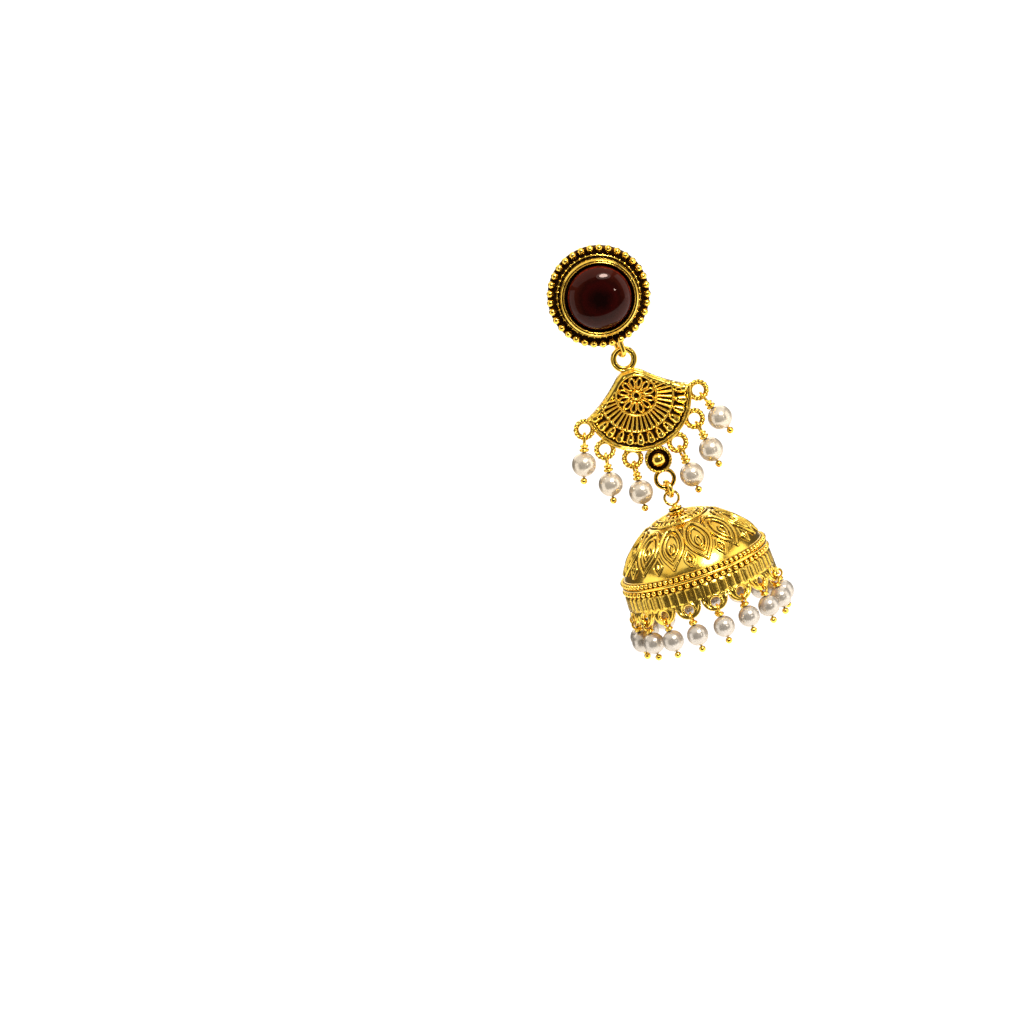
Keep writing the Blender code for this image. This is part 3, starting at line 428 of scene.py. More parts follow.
FAN_RING = {"outer": 2.7, "hole": 1.45, "depth": 0.85}
BASE_RING = {"outer": 2.3, "hole": 1.4, "depth": 1.0}
FAN_RING_Z = UPPER_LINK_BOTTOM + WIRE + LINK_GAP - FAN_RING["hole"]
PLATE_Z = FAN_RING_Z - 8.25
PLATE_RADIUS = 10.9
PLATE_CROWN = 5.8
FAN_FACE = HANG[1] - 0.6
FAN_THICKNESS = 1.2
ROSETTE_Z = PLATE_Z + 0.6
ROSETTE_RADIUS = 4.1
RAY_RING_RADIUS = 7.4
RAYS = 23
RAY_PITCH = np.radians(2 * 96 / (RAYS - 1))
TONGUES = 13
TONGUE_PITCH = np.radians(13.2)
PETALS = 12
DROP_RING_REACH = PLATE_RADIUS + 1.45
DROP_RING_TURN = 22.8        # degrees from straight down to the first drop ring, and then between them
DROP_RING_PITCH = 27.4
DROP_RING_ROPE = 1.82
DROP_RING_LIP = 1.36
BOSS_BALL = 1.5
BOSS_ROPE = 2.45
BALL_BOSS_Z = PLATE_Z - PLATE_RADIUS - 2.35
BASE_RING_Z = BALL_BOSS_Z - 4.25


def plate_outline():
    """The plate's outline from the arc's centre, with the shoulders marked."""
    corner = np.radians(-4.0)
    arc = np.linspace(corner, -np.pi / 2, 48)
    right = [(1.45, PLATE_CROWN), (2.9, PLATE_CROWN - 1.0)]
    end = np.array([PLATE_RADIUS * np.cos(corner), PLATE_RADIUS * np.sin(corner)])
    for share in np.linspace(0, 1, 14)[1:]:
        point = np.array(right[1]) * (1 - share) + end * share
        point[1] -= 0.55 * 4 * share * (1 - share)
        right.append(tuple(point))
    shoulder_end = len(right)
    right = [(0.0, PLATE_CROWN + 0.05)] + right + [(PLATE_RADIUS * np.cos(a), PLATE_RADIUS * np.sin(a))
                                                    for a in arc[1:]]
    left = [(-x, z) for x, z in right[-2:0:-1]]
    outline = np.array(right + left)
    index = np.arange(len(outline))
    is_shoulder = (index < shoulder_end) | (index >= len(outline) - shoulder_end)
    return outline, is_shoulder


def fan_relief(x, z, edge, on_shoulder):
    """Height above the plate's floor; x and z from the rosette's centre, edge the distance in from the outline."""
    radius = np.hypot(x, z)
    turn = np.arctan2(x, -z)
    height = np.zeros(x.shape)

    def raise_to(rise, *shapes):
        np.maximum(height, rise * np.prod(shapes, 0), out=height)

    # Border: two lines on the arc, a broad bevel and one line on the shoulders
    arc_border = np.maximum(0.55 * ridge(edge - 0.22, 0.26), 0.45 * ridge(edge - 0.7, 0.2))
    bevel = 0.5 * smooth_step(-0.05, 0.62, edge) * (edge < 0.95)
    height[:] = np.where(on_shoulder, bevel, arc_border)
    inner = edge > 0.95

    # Rosette: a boss with a sunk middle, and looped petals out to its ring
    raise_to(0.62, ridge(radius - ROSETTE_RADIUS, 0.3))
    raise_to(0.66, ridge(radius - 0.8, 0.36))
    petal_turn = 2 * np.pi / PETALS
    across = ((turn / petal_turn + 0.5) % 1 - 0.5) * petal_turn * radius
    petal_width = 0.22 + 0.38 * np.clip((radius - 1.3) / 2.0, 0, 1)
    petal = np.hypot(across / petal_width, (radius - 2.55) / 0.98)
    slope = np.hypot(across / petal_width ** 2, (radius - 2.55) / 0.98 ** 2) / np.maximum(petal, 0.05)
    raise_to(0.6, ridge((petal - 1) / np.maximum(slope, 0.3), 0.24), radius < ROSETTE_RADIUS)

    # Rays between the two rings
    ray = np.round(turn / RAY_PITCH)
    off_ray = (turn - ray * RAY_PITCH) * radius
    is_ray = (np.abs(ray) <= (RAYS - 1) / 2) & (radius > ROSETTE_RADIUS) & (radius < RAY_RING_RADIUS)
    raise_to(0.56, ridge(off_ray, 0.24 + 0.03 * (radius - ROSETTE_RADIUS)), is_ray)
    raise_to(0.6, ridge(radius - RAY_RING_RADIUS, 0.28), np.abs(turn) < np.radians(97))

    # Tongues: arched loops with a slot in the inner half and a full outer end, and grains between the ends
    tongue = np.round(turn / TONGUE_PITCH)
    off_tongue = (turn - tongue * TONGUE_PITCH) * radius
    is_tongue = np.abs(tongue) <= (TONGUES - 1) / 2
    along = (radius - 7.75) / 2.35
    arch = np.clip(1 - (1 - np.clip(along / 0.3, 0, 1)) ** 2, 0, 1) ** 0.5
    end = np.clip(1 - np.clip((along - 0.8) / 0.2, 0, 1) ** 2, 0, 1) ** 0.5
    half_width = (0.62 + 0.42 * np.clip(along, 0, 1)) * arch * end
    body = ridge(off_tongue, np.maximum(half_width, 1e-3)) * (along > 0) * (along < 1)
    slot_cut = ridge(off_tongue, 0.22) * smooth_step(0.12, 0.2, along) * smooth_step(0.58, 0.44, along)
    raise_to(0.85, body * (1 - 0.95 * slot_cut), is_tongue)
    gap = (np.round(turn / TONGUE_PITCH - 0.5) + 0.5) * TONGUE_PITCH
    grain = np.hypot((turn - gap) * radius, radius - 9.85)
    raise_to(0.32, ridge(grain, 0.2), np.abs(gap) <= TONGUE_PITCH * TONGUES / 2)

    # Leaves in the upper corners
    for leaf_x, leaf_z, length, lean in ((5.2, 1.25, 1.0, 8), (8.6, -0.3, 0.75, -12), (6.9, 0.95, 0.6, 25)):
        swing = np.radians(lean)
        dx, dz = np.abs(x) - leaf_x, z - leaf_z
        along = dx * np.cos(swing) + dz * np.sin(swing)
        off = -dx * np.sin(swing) + dz * np.cos(swing)
        raise_to(0.36, ridge(np.hypot(along / length, off / 0.32), 1.0))
    return np.where(inner | (height > 0), height, 0), inner


def make_fan():
    outline, is_shoulder = plate_outline()
    columns, rows = 720, 112
    rise = ROSETTE_Z - PLATE_Z
    turn = np.linspace(0, 2 * np.pi, columns, endpoint=False)
    from_centre = outline - (0, rise)
    angles = np.arctan2(from_centre[:, 1], from_centre[:, 0]) % (2 * np.pi)
    order = np.argsort(angles)
    reach = np.interp(turn, angles[order], np.hypot(*from_centre[order].T), period=2 * np.pi)
    radii = np.linspace(0, reach.max(), rows)
    radius = np.minimum(radii[:, None], reach[None, :])
    x, z = radius * np.cos(turn), radius * np.sin(turn)
    edge, nearest = path_distance(x, z + rise, outline, closed=True)
    edge = np.where(radii[:, None] >= reach[None, :], 0, edge)
    height, inner = fan_relief(x, z, edge, is_shoulder[nearest])
    patina_and_painted_light = smooth_step(0.2, 0.06, height) * smooth_step(0.25, 0.5, edge)

    fan = Shape()
    front = np.stack([HANG[0] + x, FAN_FACE - height, ROSETTE_Z + z], -1)
    fan.add(front, patina_and_painted_light, wrap_columns=True)
    wall = []
    for share, inset in ((0.0, 0.0), (0.15, -0.04), (0.85, -0.04), (1.0, 0.1)):
        size = reach - inset
        wall.append(np.stack([HANG[0] + size * np.cos(turn), np.full(columns, FAN_FACE + share * FAN_THICKNESS),
                              ROSETTE_Z + size * np.sin(turn)], -1))
    for share in (0.95, 0.5, 0.0):
        size = share * (reach - 0.1)
        wall.append(np.stack([HANG[0] + size * np.cos(turn), np.full(columns, FAN_FACE + FAN_THICKNESS),
                              ROSETTE_Z + size * np.sin(turn)], -1))
    # The plate's back darkens a little toward its middle, up to 0.25 of the way to near black.
    fan.add(np.array(wall), np.array([[0.0], [0.1], [0.1], [0.1], [0.15], [0.25], [0.25]]), wrap_columns=True)
    fan.make("fan_panel", GOLD, "fan", ["fan_plate"])

    rings = Shape()
    add_grooved_ring(rings, FAN_RING_Z, **FAN_RING)
    add_grooved_ring(rings, BASE_RING_Z, **BASE_RING)
    rings.add(tube([(-1.0, 0, 0), (-0.5, 0, 0.02), (0.5, 0, 0.02), (1.0, 0, 0)], [0.3, 0.42, 0.42, 0.3], 16), 0.2,
              wrap_columns=True, place=at(HANG[0], HANG[1], PLATE_Z + PLATE_CROWN + 0.15))
    for drop in fan_drops():
        add_rope_ring(rings, drop["ring"])
    add_ball_boss(rings)
    rings.make("fan_rings", GOLD, "fan")


def add_grooved_ring(shape, z, outer, hole, depth):
    """Ring of two round ridges with a dark groove between them."""
    half = depth / 2
    split = hole + (outer - hole) * 0.45
    ridges = [(outer, 0), (outer - 0.05, half * 0.7), (outer - 0.3, half), (split + 0.14, half * 0.75),
              (split, half * 0.1), (split - 0.14, half * 0.7), (hole + 0.22, half * 0.85), (hole, half * 0.4)]
    section = np.array(ridges + [(r, -h) for r, h in ridges[:0:-1]])
    section = soften(section, 2, closed=True)
    groove = ridge(section[:, :1] - split, 0.2)
    shape.add(turned(section, 72), groove, wrap_rows=True, wrap_columns=True,
              place=at(HANG[0], HANG[1], z) @ TO_FRONT)


def add_rope_ring(shape, centre):
    """Cast ring with a smooth lip round its hole and a rope-like outer edge."""
    steps, sides, strands = 144, 16, 15
    around = 2 * np.pi * np.arange(steps)[:, None] / steps
    section = 2 * np.pi * np.arange(sides)[None, :] / sides
    rope = 0.36 + 0.075 * np.cos(2 * section + strands * around)
    radius = DROP_RING_ROPE + rope * np.cos(section)
    depth = 1.15 * rope * np.sin(section)
    grid = np.stack([radius * np.cos(around), depth, radius * np.sin(around)], -1)
    patina_and_painted_light = smooth_step(0.33, 0.29, rope)
    place = at(*centre)
    shape.add(grid, patina_and_painted_light, wrap_rows=True, wrap_columns=True, place=place)
    shape.add(tube(circle(DROP_RING_LIP, 48), 0.22, 12, True), 0.0, wrap_rows=True, wrap_columns=True,
              place=place @ TO_FRONT)


def add_ball_boss(shape):
    """Roped cup with a ball in its dark recess."""
    place = at(HANG[0], HANG[1], BALL_BOSS_Z) @ TO_FRONT
    cup = soften([(0, -0.45), (2.6, -0.45), (2.75, -0.3), (2.7, 0.75), (2.5, 1.1), (2.25, 1.1), (2.05, 0.8),
                  (1.9, 0.3), (0, 0.3)], 2)
    dark = smooth_step(2.3, 2.1, cup[:, :1]) * smooth_step(0.0, 0.3, cup[:, 1:])
    shape.add(turned(cup, 72), dark, wrap_columns=True, place=place)
    steps, sides, strands = 160, 12, 22
    around = 2 * np.pi * np.arange(steps)[:, None] / steps
    section = 2 * np.pi * np.arange(sides)[None, :] / sides
    rope = 0.27 + 0.05 * np.cos(2 * section + strands * around)
    radius = BOSS_ROPE + rope * np.cos(section)
    shape.add(np.stack([radius * np.cos(around), radius * np.sin(around), 1.08 + rope * np.sin(section)], -1),
              smooth_step(0.25, 0.23, rope), wrap_rows=True, wrap_columns=True, place=place)
    shape.add(ball(BOSS_BALL, 16, 28, squash=0.82), wrap_columns=True, place=place @ at(0, 0, 0.8))


# Bell

EYE_RADIUS = 1.7
EYE_WIRE = 0.275
INSIDE_RADIUS = 14.7
EYE_Z = LOWER_LINK_BOTTOM + WIRE + LINK_GAP + 2 * EYE_WIRE - EYE_RADIUS
CROWN_Z = EYE_Z - 2.95
CAP_RADIUS = 15.5
CAP_HEIGHT = 9.95
CROWN_SINK = 0.3             # how far the relief's ground lies below the cap's radius, fading to the band
CAP_SEAM = 0.82              # share of tarnish in the cap's seams
CAP_LEAN = math.acos(1 - CAP_HEIGHT / CAP_RADIUS)
BAND_TOP_Z = CROWN_Z - CAP_HEIGHT
BAND_HEIGHT = 1.15
RIDGE_TOP_Z = BAND_TOP_Z - BAND_HEIGHT
LOWER_BAND_TOP_Z = RIDGE_TOP_Z - 0.6
SKIRT_TOP_Z = LOWER_BAND_TOP_Z - BAND_HEIGHT
SKIRT_BOTTOM_Z = SKIRT_TOP_Z - 2.95
SKIRT_RADIUS = 15.3
LOBES = sum(name.startswith("dome_pearl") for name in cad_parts)
LOBE_TURN = np.radians(4.9)
LOBE_DEPTH = 3.15
LOBE_HOLE = 1.05
LOBE_HOLE_DROP = 1.3
LOBE_HALF_WIDTH = SKIRT_RADIUS * np.pi / LOBES
MOTIFS = 12
MOTIF_TURN = np.radians(-3.5)
CROWN_REACH = 6.5
CROWN_PETALS = 24
BAND_BEADS = ({"count": 78, "reach": 14.95, "size": 0.5}, {"count": 62, "reach": 15.0, "size": 0.56})


def round_bell(turn, radius, z):
    """Points round the bell's axis; turn from the front towards +X."""
    turn, radius, z = np.broadcast_arrays(turn, radius, z)
    return np.stack([HANG[0] + radius * np.sin(turn), HANG[1] - radius * np.cos(turn), z], -1)


def leaf(top, bottom, half_width, point, steps=28):
    """Closed outline round on top and pointed below, as (across, along) points; point is how sharp it is."""
    share = np.linspace(0, 1, steps)
    across = half_width * np.sin(np.pi * share) ** (0.5 + point * share)
    side = np.stack([across, top + (bottom - top) * share], 1)
    return np.concatenate([side, (side * (-1, 1))[-2:0:-1]])


def cap_relief(turn, along):
    """Height and tarnish on the cap; along its curve from the crown."""
    around = CAP_RADIUS * np.sin(along / CAP_RADIUS)
    sector = (turn / (2 * np.pi / MOTIFS)) % 1 - 0.5
    across = sector * 2 * np.pi / MOTIFS * around
    from_edge = np.abs(across) - np.pi / MOTIFS * around
    height = np.zeros(across.shape)
    dark = np.zeros(across.shape)

    def line(distance, half_width, rise):
        """Round-topped line with a dark seam along each side."""
        np.maximum(height, rise * ridge(distance, half_width), out=height)
        on_line = smooth_step(half_width, half_width - 0.12, distance)
        seam = smooth_step(half_width + 0.2, half_width + 0.06, distance)
        dark[:] = np.maximum(dark, seam) * (1 - on_line)

    def stroke(path, half_width, rise, closed=False):
        line(path_distance(across, along, path, closed)[0], half_width, rise)

    def edge_stroke(path, half_width, rise):
        """A line drawn from the edge of the sector inwards, on both sides."""
        line(path_distance(from_edge, along, path)[0], half_width, rise)

    edge_stroke(soften([(0.0, 10.6), (-0.12, 9.4), (-0.75, 8.3), (-1.6, 7.3)]), 0.28, 0.4)
    edge_stroke(soften([(0.0, 14.2), (-0.35, 14.9), (-1.1, 16.0), (-0.5, 17.0), (0.0, 17.6)]), 0.25, 0.4)
    edge_stroke([(0.0, 15.7), (0.0, 16.3)], 0.36, 0.42)
    edge_stroke([(0.0, 8.0), (0.0, 8.1)], 0.34, 0.36)
    stroke(leaf(7.6, 17.2, 2.5, 0.75), 0.35, 0.5, closed=True)
    stroke(leaf(9.2, 15.3, 1.5, 0.45), 0.28, 0.42, closed=True)
    stroke(leaf(11.6, 13.9, 0.62, 0.1), 0.25, 0.42, closed=True)
    for ring in (4.2, 6.1):
        line(np.abs(along - ring), 0.26, 0.36)
    petals = (turn / (2 * np.pi / CROWN_PETALS)) % 1 - 0.5
    petal_across = petals * 2 * np.pi / CROWN_PETALS * around
    for centre, half_length in ((3.1, 0.55), (5.15, 0.3)):
        line(np.hypot(petal_across, np.maximum(np.abs(along - centre) - half_length, 0)), 0.3, 0.34)
    return height, CAP_SEAM * np.clip(dark, 0, 1)


def make_cap():
    """The cap's outside, one motif's worth of relief worked out and repeated."""
    for name, start, end, per_motif, rows, replaced in (
            ("bell_crown", 0.06, CROWN_REACH, 60, 50, []),
            ("bell_cap", CROWN_REACH, CAP_LEAN * CAP_RADIUS, 70, 112, ["dome"])):
        turn = 2 * np.pi / MOTIFS * np.arange(per_motif) / per_motif
        along = np.linspace(start, end, rows)
        height, dark = cap_relief(*np.meshgrid(turn, along))
        height, dark = np.tile(height, (1, MOTIFS)), np.tile(dark, (1, MOTIFS))
        turn = MOTIF_TURN + 2 * np.pi * np.arange(per_motif * MOTIFS) / (per_motif * MOTIFS)
        lean = (along / CAP_RADIUS)[:, None]
        fade = smooth_step(CAP_LEAN, 0.6 * CAP_LEAN, lean)
        radius = CAP_RADIUS - CROWN_SINK * fade + height
        outside = round_bell(turn[None, :], radius * np.sin(lean), CROWN_Z - CAP_RADIUS + radius * np.cos(lean))
        cap = Shape()
        cap.add(outside, dark, wrap_columns=True)
        cap.make(name, GOLD, "bell", replaced)


def skirt_relief(turn, drop):
    """Height and darkening on the skirt: a tongue and a fine line, three times to each lobe; patina in the seams,
    painted dark reflection on the tongues.
    """
    pitch = 2 * np.pi / (3 * LOBES)
    sector = (turn / pitch) % 1 - 0.5
    panel = ridge(sector, 0.36)
    line = ridge(np.abs(sector) - 0.46, 0.04)
    slant = smooth_step(0.0, 0.15, drop) * smooth_step(1.0, 0.85, drop)
    height = 0.26 * panel * slant + 0.2 * line
    dark = ridge(np.abs(sector) - 0.39, 0.04) * slant
    # The seams beside the tongues get patina; 0.48 of the way to near black on each tongue is painted dark reflection.
    return height, np.maximum(dark * 0.85, 0.48 * panel * slant)


def make_rim():
    """Bands, ridge and skirt, the bell's inside and the lobes."""
    rim = Shape()
    columns = 54 * LOBES
    turn = LOBE_TURN + 2 * np.pi * np.arange(columns)[None, :] / columns
    bands = soften([(14.3, BAND_TOP_Z + 0.06), (14.58, BAND_TOP_Z + 0.02), (14.7, BAND_TOP_Z - 0.18),
                    (14.75, RIDGE_TOP_Z + 0.1), (15.2, RIDGE_TOP_Z), (15.32, RIDGE_TOP_Z - 0.3),
                    (15.2, LOWER_BAND_TOP_Z), (14.8, LOWER_BAND_TOP_Z - 0.1), (14.8, SKIRT_TOP_Z + 0.1),
                    (15.15, SKIRT_TOP_Z)], 2)
    band_dark = 0.72 * smooth_step(15.05, 14.9, bands[:, :1]) * (bands[:, 1:] < BAND_TOP_Z - 0.1)
    rows = 18
    drop = np.linspace(0, 1, rows)[:, None]
    height, dark = skirt_relief(turn - LOBE_TURN, drop)
    skirt_radius = 15.1 + 0.12 * drop + height + 0.12 * ridge(drop - 1, 0.08)
    skirt_z = SKIRT_TOP_Z - 0.05 - drop * (SKIRT_TOP_Z - 0.05 - SKIRT_BOTTOM_Z)
    inside = soften([(15.25, SKIRT_BOTTOM_Z - 0.05), (14.65, SKIRT_BOTTOM_Z - 0.05), (14.3, SKIRT_TOP_Z),
                     (13.9, BAND_TOP_Z)] +
                    [(INSIDE_RADIUS * math.sin(lean), CROWN_Z - CAP_RADIUS + INSIDE_RADIUS * math.cos(lean))
                     for lean in np.linspace(CAP_LEAN * 0.95, 0.0, 16)], 1)

    def lathe(profile, tone):
        grid = round_bell(turn[:, ::3], profile[:, :1], profile[:, 1:])
        rim.add(grid, np.broadcast_to(tone, (len(profile), grid.shape[1])), wrap_columns=True)

    lathe(bands, band_dark)
    rim.add(round_bell(turn, skirt_radius, np.broadcast_to(skirt_z, (rows, columns))),
            np.broadcast_to(dark, (rows, columns)), wrap_columns=True)
    # The bell's inside is darkened evenly, 0.35 of the way to near black.
    lathe(inside, 0.35)
    for lobe in range(LOBES):
        add_lobe(rim, LOBE_TURN + 2 * np.pi * lobe / LOBES)
    rim.make("bell_rim", GOLD, "bell")

    beads = Shape()
    for row, top in zip(BAND_BEADS, (BAND_TOP_Z, LOWER_BAND_TOP_Z)):
        for i in range(row["count"]):
            bead = round_bell(2 * np.pi * i / row["count"], row["reach"], top - BAND_HEIGHT / 2)
            beads.add(ball(row["size"], 10, 14), wrap_columns=True, place=at(*bead))
    beads.make("bell_beads", GOLD, "bell")


def add_lobe(shape, centre):
    """One rounded lobe: a raised lower edge and a ring round its hole."""
    columns, rows = 64, 12
    turn = 2 * np.pi * np.arange(columns) / columns
    sweep = np.linspace(0, np.pi, 60)
    half = LOBE_HALF_WIDTH * 0.985
    across = np.concatenate([half * np.cos(sweep), np.linspace(-half, half, 40)[1:-1]])
    drop = np.concatenate([LOBE_DEPTH * np.sin(sweep) ** 0.9, np.full(38, -0.25)])
    from_hole = np.stack([across, LOBE_HOLE_DROP - drop], 1)
    angles = np.arctan2(from_hole[:, 1], from_hole[:, 0]) % (2 * np.pi)
    order = np.argsort(angles)
    reach = np.interp(turn, angles[order], np.hypot(*from_hole[order].T), period=2 * np.pi)
    share = np.linspace(0, 1, rows)[:, None]
    radius = LOBE_HOLE - 0.05 + share * (reach - LOBE_HOLE + 0.05)
    x, up = radius * np.cos(turn), radius * np.sin(turn)
    to_edge = reach - radius
    lower = smooth_step(0.9, 0.2, up)
    height = np.maximum(0.26 * ridge(to_edge - 0.3, 0.42) * lower, 0.22 * ridge(radius - LOBE_HOLE - 0.22, 0.3))
    dark = smooth_step(0.12, 0.02, height) * smooth_step(1.2, 0.6, up) * 0.7

    def sheet(wall, height, tone):
        drop = LOBE_HOLE_DROP - up
        body = SKIRT_RADIUS + 0.3 * drop / LOBE_DEPTH - wall + height
        return round_bell(centre + x / SKIRT_RADIUS, body, SKIRT_BOTTOM_Z - drop), tone

    outer, tone = sheet(0.1, height, dark)
    inner, _ = sheet(0.6, 0.0, 0.0)
    loop = np.concatenate([outer, inner[::-1]])
    shape.add(loop, np.concatenate([tone, np.full(tone.shape, 0.2)]), wrap_rows=True, wrap_columns=True)


def make_finial():
    finial = Shape()
    place = at(HANG[0], HANG[1], CROWN_Z)
    collar = soften([(0, -0.35), (1.75, -0.35), (1.82, 0.0), (1.8, 0.3), (1.45, 0.42), (1.15, 0.48), (1.35, 0.62),
                     (1.4, 0.85), (1.2, 1.1), (0.7, 1.15), (0.5, 1.25), (0.5, 1.5), (0, 1.52)], 2)
    dark = ridge(collar[:, 1:] - 0.46, 0.12)
    finial.add(turned(collar, 48), dark * 0.8, wrap_columns=True, place=place)
    path = oval(EYE_RADIUS - EYE_WIRE, EYE_RADIUS - EYE_WIRE, 64)
    finial.add(tube(path, EYE_WIRE, 14, True), wrap_rows=True, wrap_columns=True, place=at(*HANG, EYE_Z))
    finial.make("bell_finial", GOLD, "bell")


# Drops

FAN_DROPS = [{"splay": 5.0, "twist": 25.0}, {"splay": 9.5, "twist": 10.0}, {"splay": 19.5, "twist": 0.0}]
FAN_DROP = {"pearl": 2.5, "ball": 0.7, "wire": 0.28, "coil": 0.34, "half_width": 0.84, "half_length": 1.2,
            "neck": 0.98, "neck_height": 1.35, "hole": 1.205}
BELL_DROP = {"pearl": 2.2, "ball": 0.68, "wire": 0.23, "coil": 0.23, "half_width": 0.9, "half_length": 0.9,
             "neck": 0.85, "neck_height": 0.55, "hole": LOBE_HOLE + 0.03}
BORE_GAP = 0.12
PEARL_INSET = 0.04          # keeps the smooth pearl inside the faceted solid's box


def fan_drops():
    """Ring centre, splay and twist of the fan's drops, left to right."""
    drops = []
    for side in (-1, 1):
        for i, row in enumerate(FAN_DROPS):
            turn = math.radians(DROP_RING_TURN + DROP_RING_PITCH * i)
            ring = (HANG[0] + side * DROP_RING_REACH * math.sin(turn), HANG[1],
                    PLATE_Z - DROP_RING_REACH * math.cos(turn))
            drops.append({"ring": ring, "splay": side * row["splay"], "twist": side * row["twist"]})
    return sorted(drops, key=lambda drop: drop["ring"][0])


def make_drop(names, bodies, sizes, place, pearl_finish):
    """A pearl on its head pin, hung at place."""
    top = -sizes["hole"] + LINK_GAP + sizes["wire"]
    bottom = top - 2 * sizes["half_length"]
    neck_bottom = bottom - sizes["neck_height"]
    pearl_z = neck_bottom - BORE_GAP - sizes["pearl"]
    ball_z = pearl_z - sizes["pearl"] - BORE_GAP - sizes["ball"]
    wire = sizes["wire"]

    pin = Shape()
    loop = oval(sizes["half_width"], sizes["half_length"], 48)
    pin.add(tube(loop, wire, 12, True), wrap_rows=True, wrap_columns=True, place=place @ at(0, 0, (top + bottom) / 2))
    coil = sizes["coil"]
    for z, size in ((neck_bottom + coil * 1.05, sizes["neck"]), (bottom - coil * 0.6, sizes["neck"] * 0.86)):
        ring = 2 * np.pi * np.arange(32) / 32
        path = np.stack([(size - coil) * np.cos(ring), (size - coil) * np.sin(ring), z + 0.05 * np.cos(ring + 1)], 1)
        pin.add(tube(path, coil, 12, True), wrap_rows=True, wrap_columns=True, place=place)
    stem = soften([(0, bottom + wire), (sizes["neck"] * 0.45, bottom), (sizes["neck"] * 0.55, neck_bottom),
                   (wire, neck_bottom - 0.05), (wire, ball_z + sizes["ball"] * 0.8), (0, ball_z)], 1)
    pin.add(turned(stem, 16), 0.6, wrap_columns=True, place=place)
    pin.add(ball(sizes["ball"], 14, 20), wrap_columns=True, place=place @ at(0, 0, ball_z))
    pin.make(names[1] + "_wire", GOLD, bodies, [names[1]])

    pearl = Shape()
    radius = sizes["pearl"] - PEARL_INSET
    pole = math.asin((wire + 0.05) / radius)
    lean = np.linspace(pole, math.pi - pole, 30)
    profile = np.stack([radius * np.sin(lean), radius * np.cos(lean)], 1)
    pearl.add(turned(profile, 40), wrap_rows=True, wrap_columns=True, place=place @ at(0, 0, pearl_z))
    pearl.make(names[0] + "_bead", pearl_finish, bodies, [names[0]])


def make_drops():
    for number, drop in enumerate(fan_drops(), 1):
        place = (at(*drop["ring"]) @ Matrix.Rotation(math.radians(-drop["splay"]), 4, "Y")
                 @ Matrix.Rotation(math.radians(90 + drop["twist"]), 4, "Z"))
        make_drop((f"fan_pearl_{number}", f"fan_pin_{number}"), "fan", FAN_DROP, place, FAN_PEARL)
    share = (LOBE_HOLE_DROP + LOBE_HOLE) / LOBE_DEPTH
    radius = SKIRT_RADIUS + 0.3 * share - 0.3
    for lobe in range(LOBES):
        turn = LOBE_TURN + 2 * np.pi * lobe / LOBES
        place = (at(*round_bell(turn, radius, SKIRT_BOTTOM_Z - LOBE_HOLE_DROP))
                 @ Matrix.Rotation(math.pi / 2 + turn, 4, "Z"))
        number = f"{lobe + 1:02d}"
        make_drop((f"dome_pearl_{number}", f"dome_pin_{number}"), "bell", BELL_DROP, place, BELL_PEARL)


# Floor, lights and camera

PHOTO_SIZE = 1024
STUD_PIXEL = (598.3, 295.3)
MM_PER_PIXEL = 0.2
LENS = 300.0
SENSOR = 36.0
TILT = math.radians(10.0)
ROLL = math.radians(19.2)
FLOOR_Z = -0.4               # metres, as are the lights' places and sizes
FLOOR_FRONT = -0.52
FLOOR_SIZE = 15.0


def make_camera():
    right = Vector((1, 0, 0))
    up = Vector((0, math.sin(TILT), math.cos(TILT)))
    back = Vector((0, -math.cos(TILT), math.sin(TILT)))
    image_right = right * math.cos(ROLL) - up * math.sin(ROLL)
    image_up = right * math.sin(ROLL) + up * math.cos(ROLL)
    off_right = (STUD_PIXEL[0] - PHOTO_SIZE / 2) * MM_PER_PIXEL * MM
    off_up = (PHOTO_SIZE / 2 - STUD_PIXEL[1]) * MM_PER_PIXEL * MM
    aim = -image_right * off_right - image_up * off_up
    distance = PHOTO_SIZE * MM_PER_PIXEL * MM * LENS / SENSOR
    data = bpy.data.cameras.new("camera")
    data.lens = LENS
    data.sensor_width = SENSOR
    data.clip_start, data.clip_end = 0.01, 100.0
    camera = bpy.data.objects.new("camera", data)
    axes = Matrix((image_right, image_up, back)).transposed().to_4x4()
    camera.matrix_world = Matrix.Translation(aim + back * distance) @ axes
    bpy.context.scene.collection.objects.link(camera)
    bpy.context.scene.camera = camera


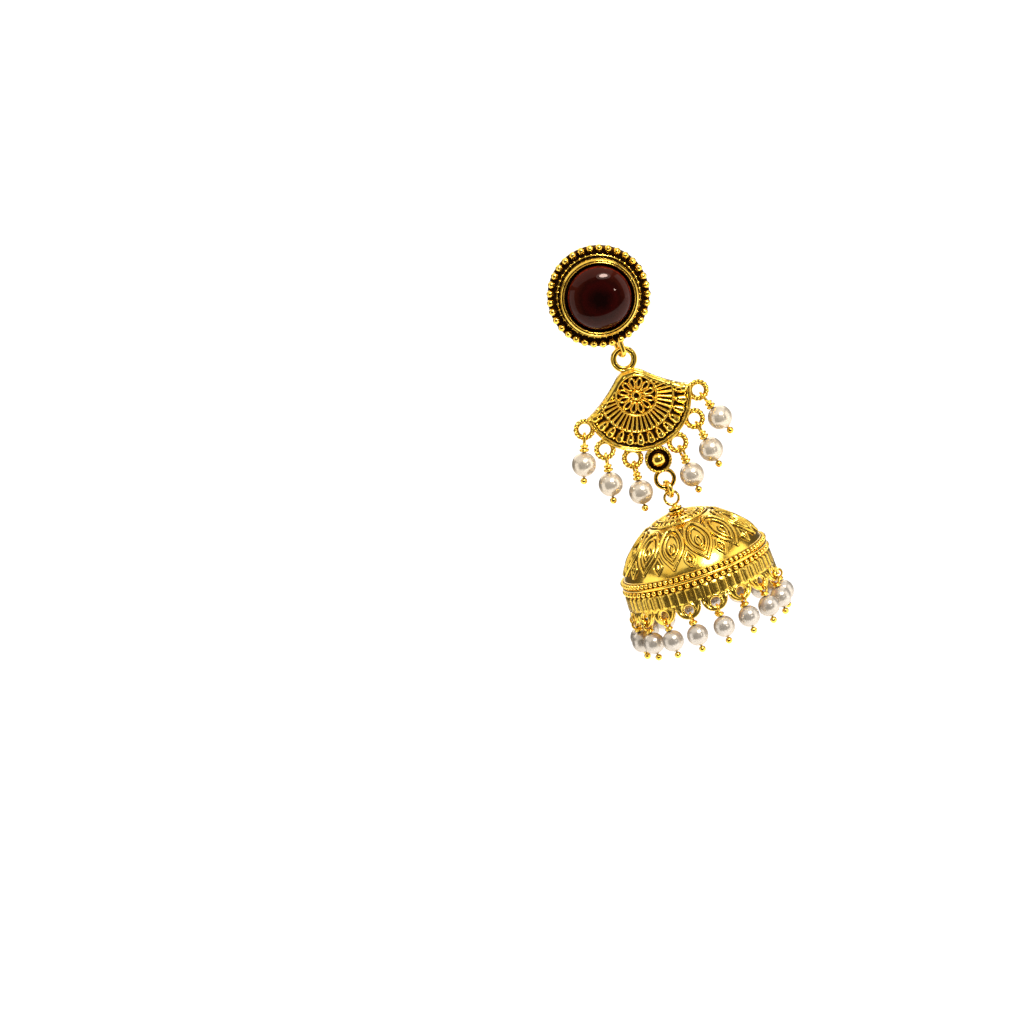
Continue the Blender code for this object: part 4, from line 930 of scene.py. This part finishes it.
def make_floor():
    mesh = bpy.data.meshes.new("floor")
    size = FLOOR_SIZE
    mesh.from_pydata([(-size, FLOOR_FRONT, FLOOR_Z), (size, FLOOR_FRONT, FLOOR_Z), (size, size, FLOOR_Z),
                      (-size, size, FLOOR_Z)], [], [(0, 1, 2, 3)])
    paint = Nodes("floor_paint")
    paint.shader.inputs["Base Color"].default_value = (0.92, 0.92, 0.92, 1.0)
    paint.shader.inputs["Roughness"].default_value = 0.9
    mesh.materials.append(paint.material)
    floor = bpy.data.objects.new("floor", mesh)
    bpy.context.scene.collection.objects.link(floor)


def make_area(name, place, target, size, power, shape="RECTANGLE"):
    data = bpy.data.lights.new(name, "AREA")
    data.shape = shape
    data.size, data.size_y = size
    data.energy = power
    light = bpy.data.objects.new(name, data)
    light.location = place
    light.rotation_mode = "QUATERNION"
    light.rotation_quaternion = (Vector(target) - Vector(place)).to_track_quat("-Z", "Y")
    bpy.context.scene.collection.objects.link(light)


def make_lights():
    centre = (0, 0, -0.04)
    make_area("key", (0.33, -0.55, 0.50), centre, (0.28, 0.18), 7.0, "ELLIPSE")
    make_area("key_soft", (0.34, -0.57, 0.51), centre, (0.50, 0.34), 1.6, "ELLIPSE")
    make_area("spark", (0.46, -0.72, -0.01), centre, (0.04, 0.04), 0.35, "ELLIPSE")
    make_area("right", (0.9, -0.15, 0.0), centre, (0.7, 1.0), 3.8)
    make_area("left", (-0.9, -0.15, 0.0), centre, (0.7, 1.0), 3.2)
    make_area("ceiling", (0.0, -0.1, 0.8), (0.0, -0.1, FLOOR_Z), (2.0, 1.6), 9.5)
    make_area("floor_glow", (0.0, 0.0, -0.12), (0.0, 0.0, FLOOR_Z), (1.6, 1.1), 4.5)
    make_area("rear", (0.0, 3.6, 0.8), (0.0, 3.6, FLOOR_Z), (2.0, 5.8), 75.0)
    world = bpy.data.worlds.new("studio")
    bpy.context.scene.world = world
    world.use_nodes = True
    background = world.node_tree.nodes["Background"]
    background.inputs["Color"].default_value = (1.0, 0.9, 0.78, 1.0)
    background.inputs["Strength"].default_value = 0.12


make_stud()
make_link("link_upper", link_low, link_high, UPPER_LINK_HALF_WIDTH, UPPER_LINK_TWIST, "upper_link", "upper_link")
make_link("link_lower", lower_low, lower_high, (lower_high - lower_low)[2] / 2 - WIRE, LOWER_LINK_TWIST,
          "lower_link", "lower_link")
make_fan()
make_cap()
make_rim()
make_finial()
make_drops()
make_camera()
make_floor()
make_lights()
bpy.context.scene.view_settings.view_transform = "Standard"

bpy.context.view_layer.update()
